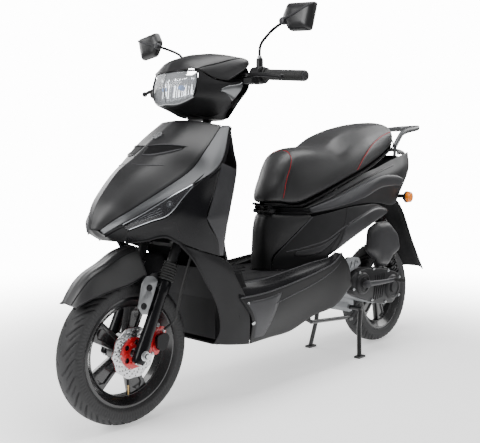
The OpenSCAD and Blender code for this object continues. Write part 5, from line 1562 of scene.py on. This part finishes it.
# ---------------------------------------------------------------- engine and rear
def rear_parts():
    cover = bmesh.new()
    outline = rounded([(-948, 300), (-957, 336), (-995, 358), (-1060, 364), (-1209, 344),
                       (-1300, 318), (-1314, 243),
                       (-1262, 197), (-1190, 202), (-1121, 216), (-1005, 250), (-960, 270)], 16)
    middle = outline.mean(axis=0)
    rings = []
    for y, grow in [(126.4, 1.0), (146, 1.0), (151, 0.985), (155, 0.955), (156.5, 0.91)]:
        rings.append([(middle[0] + grow * (p[0] - middle[0]), y,
                       middle[1] + grow * (p[1] - middle[1])) for p in outline])
    add_loft(cover, rings)
    for x, z, r in [(-1020, 306, 44), (-1240, 266, 52)]:
        start = 9 if r < 50 else 0.1
        add_ring(cover, (x, 156, z), (0, 1, 0),
                 [(r, 0), (r - 1, 4), (r - 5, 10), (r - 8, 11.5), (r - 14, 11), (r - 17, 8),
                                                 (r * 0.45, 8), (r * 0.43, 14), (start, 14.5),
                                                 (start, 0)], 64)
    for i in range(5):
        x = -1100 - 16 * i
        add_sweep(cover, [(x, 155.5, 228 + i), (x - 10, 158, 280), (x - 16, 155.5, 330)], 2.6, 3.0)
    for x, z in [(-960, 290), (-1000, 350), (-1100, 354), (-1210, 336), (-1300, 300), (-1296, 226),
                 (-1190, 212), (-1090, 232)]:
        add_turned(cover, (x, 140, z), (0, 1, 0), [(9, 0), (9, 14), (7.5, 17), (0.1, 17)], 20)
    piece("cvt_case", cover, "swing_unit", SLOT_OF_NODE["cvt_cover"], look="panel_black", bevel=0.6,
          sharp=32,
          stands_for=["cvt_cover"])
    heads = bmesh.new()
    for x, z in [(-960, 290), (-1000, 350), (-1100, 354), (-1210, 336), (-1300, 300), (-1296, 226),
                 (-1190, 212), (-1090, 232)]:
        add_bolt(heads, (x, 156.6, z), (0, 1, 0), 4.2, 4.4)
    piece("cvt_bolts", heads, "swing_unit", "bright_steel")

    hanger = bmesh.new()
    add_cut_plate(hanger, rounded([(-872, 350), (-884, 386), (-950, 412), (-1022, 404),
                                   (-1034, 380), (-1000, 366),
                                   (-957, 354), (-936, 330), (-900, 330)], 8),
                  [circle(-905, 356, 9, 20), circle(-1010, 390, 6, 16)], 134, 5, 1.0)
    for x, z in [(-930, 372), (-960, 384), (-988, 388)]:
        add_sweep(hanger, [(x, 138.5, z - 16), (x - 6, 141, z), (x - 12, 138.5, z + 12)], 2.6, 3.0)
    add_turned(hanger, (-905, 138, 356), (0, 1, 0), [(15, 0), (15, 2), (13, 4.5), (9.5, 4.5)], 28)
    piece("engine_hanger", hanger, "swing_unit", SLOT_OF_NODE["crankcase"], look="cast_alloy",
          sharp=30)

    box = bmesh.new()
    plan = rounded([(-1090, 420), (-1102, 510), (-1159, 533), (-1250, 533), (-1328, 478),
                    (-1348, 412), (-1280, 384),
                    (-1250, 350), (-1170, 352), (-1150, 384)], 18)
    centre = np.array([-1220.0, 446.0])
    rings = []
    for y, grow in [(119, 0.97), (121, 0.985), (129, 0.985), (133, 0.96), (139, 0.89), (143, 0.81),
                    (145.5, 0.71), (146, 0.4)]:
        rings.append([(centre[0] + grow * (p[0] - centre[0]), y,
                       centre[1] + grow * (p[1] - centre[1])) for p in plan])
    add_loft(box, rings)
    seam = [(centre[0] + 0.985 * (p[0] - centre[0]), 125,
             centre[1] + 0.985 * (p[1] - centre[1])) for p in plan]
    add_loft(box, [[np.array(p) + (0, 1.8 * math.cos(a),
                                   0) + 1.8 * math.sin(a) * np.append((np.array([p[0], p[2]]) - centre) / np.linalg.norm(np.array([p[0], p[2]]) - centre), 0)[[0, 2, 1]]
                    for a in around(6)] for p in seam], closed=True)
    piece("air_filter_box", box, "swing_unit", SLOT_OF_NODE["air_filter"], look="highlight_black",
          sharp=35,
          stands_for=["air_filter"])
    screws = bmesh.new()
    for x, z in [(-1118, 488), (-1312, 440), (-1262, 392)]:
        add_bolt(screws, (x, 131, z), (0, 1, 0), 3.6, 4.0)
    piece("filter_screws", screws, "swing_unit", "bright_steel")

    kick = bmesh.new()
    arm = fine_row([(-1010, 187, 308), (-1070, 190, 306), (-1140, 190, 304), (-1200, 189, 304)], 5)
    add_sweep(kick, arm, 6.0, 9.0, normals=[(0, 0, 1)] * len(arm), taper=lambda t: 1.25 - 0.4 * t,
              power=0.8, steps=16)
    add_ring(kick, (-1010, 180, 308), (0, 1, 0),
             [(7.2, 0), (13, 0), (14, 1.4), (14, 13), (12, 15), (7.2, 15)], 40)
    add_bar(kick, (-1010, 153, 308), (-1010, 197, 308), 7)
    piece("kick_arm", kick, "kick", SLOT_OF_NODE["kick_lever"], look="grey_and_highlight",
          stands_for=["kick_lever"])
    pedal = bmesh.new()
    add_bar(pedal, (-1200, 190, 304), (-1200, 240, 304), 6.0)
    for i in range(6):
        add_ring(pedal, (-1200, 200 + 6.4 * i, 304), (0, 1, 0),
                 [(5.6, 0), (8, 0.6), (8.2, 3.6), (5.6, 4.4)], 28)
    piece("kick_pedal_rubber", pedal, "kick", SLOT_OF_NODE["kick_lever"], look="grip_rubber")

    guard = bmesh.new()
    rows = [[[x, 0, z], [x + 1, (74 - i * 2) * 0.6, z - 1], [x + 14, 74 - i * 2, z - 12]] for i,
            (x, z) in enumerate(MUD)]
    add_grid(guard, fine_grid([full_row(r) for r in rows], 7), (-1364, 0, 300))
    piece("mudguard_skin", guard, "chassis", SLOT_OF_NODE["rear_mudguard"], look="near_black_and_shade",
          wall=3.0, bevel=0.6,
          stands_for=["rear_mudguard"])
    ribs = bmesh.new()
    shape = Surface([full_row(r) for r in rows], (-1364, 0, 300))
    for k in range(9):
        u = 0.52 + 0.05 * k
        points, normals = shape.path([[u, 0.14], [u, 0.5], [u, 0.86]], 0.2)
        add_sweep(ribs, points, 2.6, 1.8, normals)
    for v in (0.015, 0.985):
        points, normals = shape.path([[0.05, v], [0.4, v], [0.7, v], [0.99, v]], 0.2)
        add_sweep(ribs, points, 3.0, 2.4, normals)
    piece("mudguard_ribs", ribs, "chassis", SLOT_OF_NODE["rear_mudguard"], look="panel_black")

    lamps, stalks = bmesh.new(), bmesh.new()
    add_bar(stalks, (-1392, 72, 634), (-1392, 119, 634), 8.6)
    add_turned(stalks, (-1396, 117, 630), (0, 1, 0),
               [(10, 0), (14, 1), (22, 9), (24.6, 11), (24.6, 18), (23.4, 19.4), (0.1, 19.4)], 40)
    lens_profile = [(22.6, 0), (23.2, 2),
                    (22.8, 10)] + [(22.8 * math.cos(a) + 0.5 * (i % 2), 10 + 8 * math.sin(a))
                                                        for i, a in enumerate(np.linspace(0.15, 1.5,
                                                                                          12))]
    add_turned(lamps, (-1396, 136.6, 630), (0, 1, 0), lens_profile + [(0.1, 18)], 40)
    mirrored(lamps)
    mirrored(stalks)
    piece("indicator_lenses_rear", lamps, "chassis", SLOT_OF_NODE["rear_indicators"],
          look="amber_lens",
          stands_for=["rear_indicators"])
    piece("indicator_stalks_rear", stalks, "chassis", "satin_black")

    rail = bmesh.new()
    tube = fine_row([(-1328, 108, 842), (-1362, 106, 874), (-1395, 104, 900), (-1450, 98, 914),
                     (-1500, 92, 922),
                     (-1570, 76, 931), (-1624, 54, 938), (-1640, 30, 940), (-1641, 0, 940)], 6)
    add_sweep(rail, np.concatenate([tube, flipped(tube)[-2::-1]]), 8.6, 11.0, steps=18, power=0.8,
              normals=[(0, 0, 1)] * (2 * len(tube) - 1))
    deck = rounded([(-1490, -82), (-1490, 82), (-1562, 72), (-1562, -72)], 8)
    low = [rail.verts.new((x, y, 921)) for x, y in deck]
    high = [rail.verts.new((x, y, 929.5)) for x, y in deck]
    n = len(deck)
    faces = [rail.faces.new(low), rail.faces.new(high[::-1])]
    faces += [rail.faces.new([low[i], high[i], high[(i + 1) % n],
                              low[(i + 1) % n]]) for i in range(n)]
    bmesh.ops.recalc_face_normals(rail, faces=faces)
    piece("grab_rail_tube", rail, "chassis", "rail_grey", bevel=0.8, stands_for=["grab_rail"])
    braces = bmesh.new()
    for side in (-1, 1):
        add_sweep(braces, fine_row([(-1331, side * 107, 846), (-1336, side * 104, 812),
                                    (-1350, side * 92, 776),
                                    (-1358, side * 82, 748)], 5), 8.0, 6.0)
    piece("rail_braces", braces, "chassis", "rail_grey")
    feet = bmesh.new()
    for x in (-1510, -1540):
        for y in (-40, 40):
            add_bolt(feet, (x, y, 929.5), (0, 0, 1), 5, 4.5)
    piece("grab_rail_bolts", feet, "chassis", "bright_steel")

    lamp = bmesh.new()
    rings = []
    for x, z0, z1, w in [(-1396, 692, 804, 64), (-1430, 686, 810, 71), (-1462, 688, 811, 71.5),
                         (-1480, 698, 805, 68),
                         (-1490, 714, 797, 58)]:
        rings.append([(x, w * signed_power(math.cos(a), 0.55),
                       (z0 + z1) / 2 + (z1 - z0) / 2 * signed_power(math.sin(a), 0.55))
                      for a in around(40)])
    add_loft(lamp, rings)
    for i in range(7):
        z = 722 + 10 * i
        add_sweep(lamp, [(-1488.5, -48, z), (-1490.5, 0, z), (-1488.5, 48, z)], 1.6, 1.6, steps=8)
    piece("tail_lamp_lens", lamp, "chassis", "red_lens", bevel=1.0, stands_for=["tail_lamp"])
    hood = bmesh.new()
    add_grid(hood, fine_grid([full_row([[x, 0, z + 6], [x, w * 0.6, z + 4], [x, w, z - 6],
                                        [x, w + 6, z - 24]]) for x, z, w in
                              [(-1384, 834, 84), (-1420, 836, 82), (-1460, 832, 78),
                               (-1486, 824, 66)]], 5), (-1430, 0, 700))
    piece("tail_hood", hood, "chassis", "satin_black", look="panel_black", wall=2.5)


def rear_spring():
    """One coil that follows both halves of the shock absorber."""
    top, eye = np.array([-1235.0, 88, 575]), np.array([-1385.0, 88, 262])
    d = (eye - top) / np.linalg.norm(eye - top)
    u, v, _ = axes_for(d)
    length = np.linalg.norm(eye - top)
    start, end, turns = 44, length - 54, 9
    path = []
    for i in range(turns * 24 + 1):
        t = i / (turns * 24)
        a = 2 * math.pi * turns * t
        path.append(top + d * (start + (end - start) * t) + 23 * (math.cos(a) * u + math.sin(a) * v))
    coil = bmesh.new()
    add_sweep(coil, path, 4.0, steps=10)
    spring = piece("rear_spring", coil, None, "frame_black", look="gloss_black")
    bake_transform(spring)


front_body()
middle_body()
seat()
tyre("front_tyre_tread", 0, "front_wheel", "front_tyre")
tyre("rear_tyre_tread", REAR_X, "rear_wheel", "rear_tyre")
rim("front_rim_cast", 0, "front_wheel", "front_rim")
rim("rear_rim_cast", REAR_X, "rear_wheel", "rear_rim")
wheel_details()
fork_parts()
cockpit()
rear_parts()
rear_spring()
studio()
paint_cad()
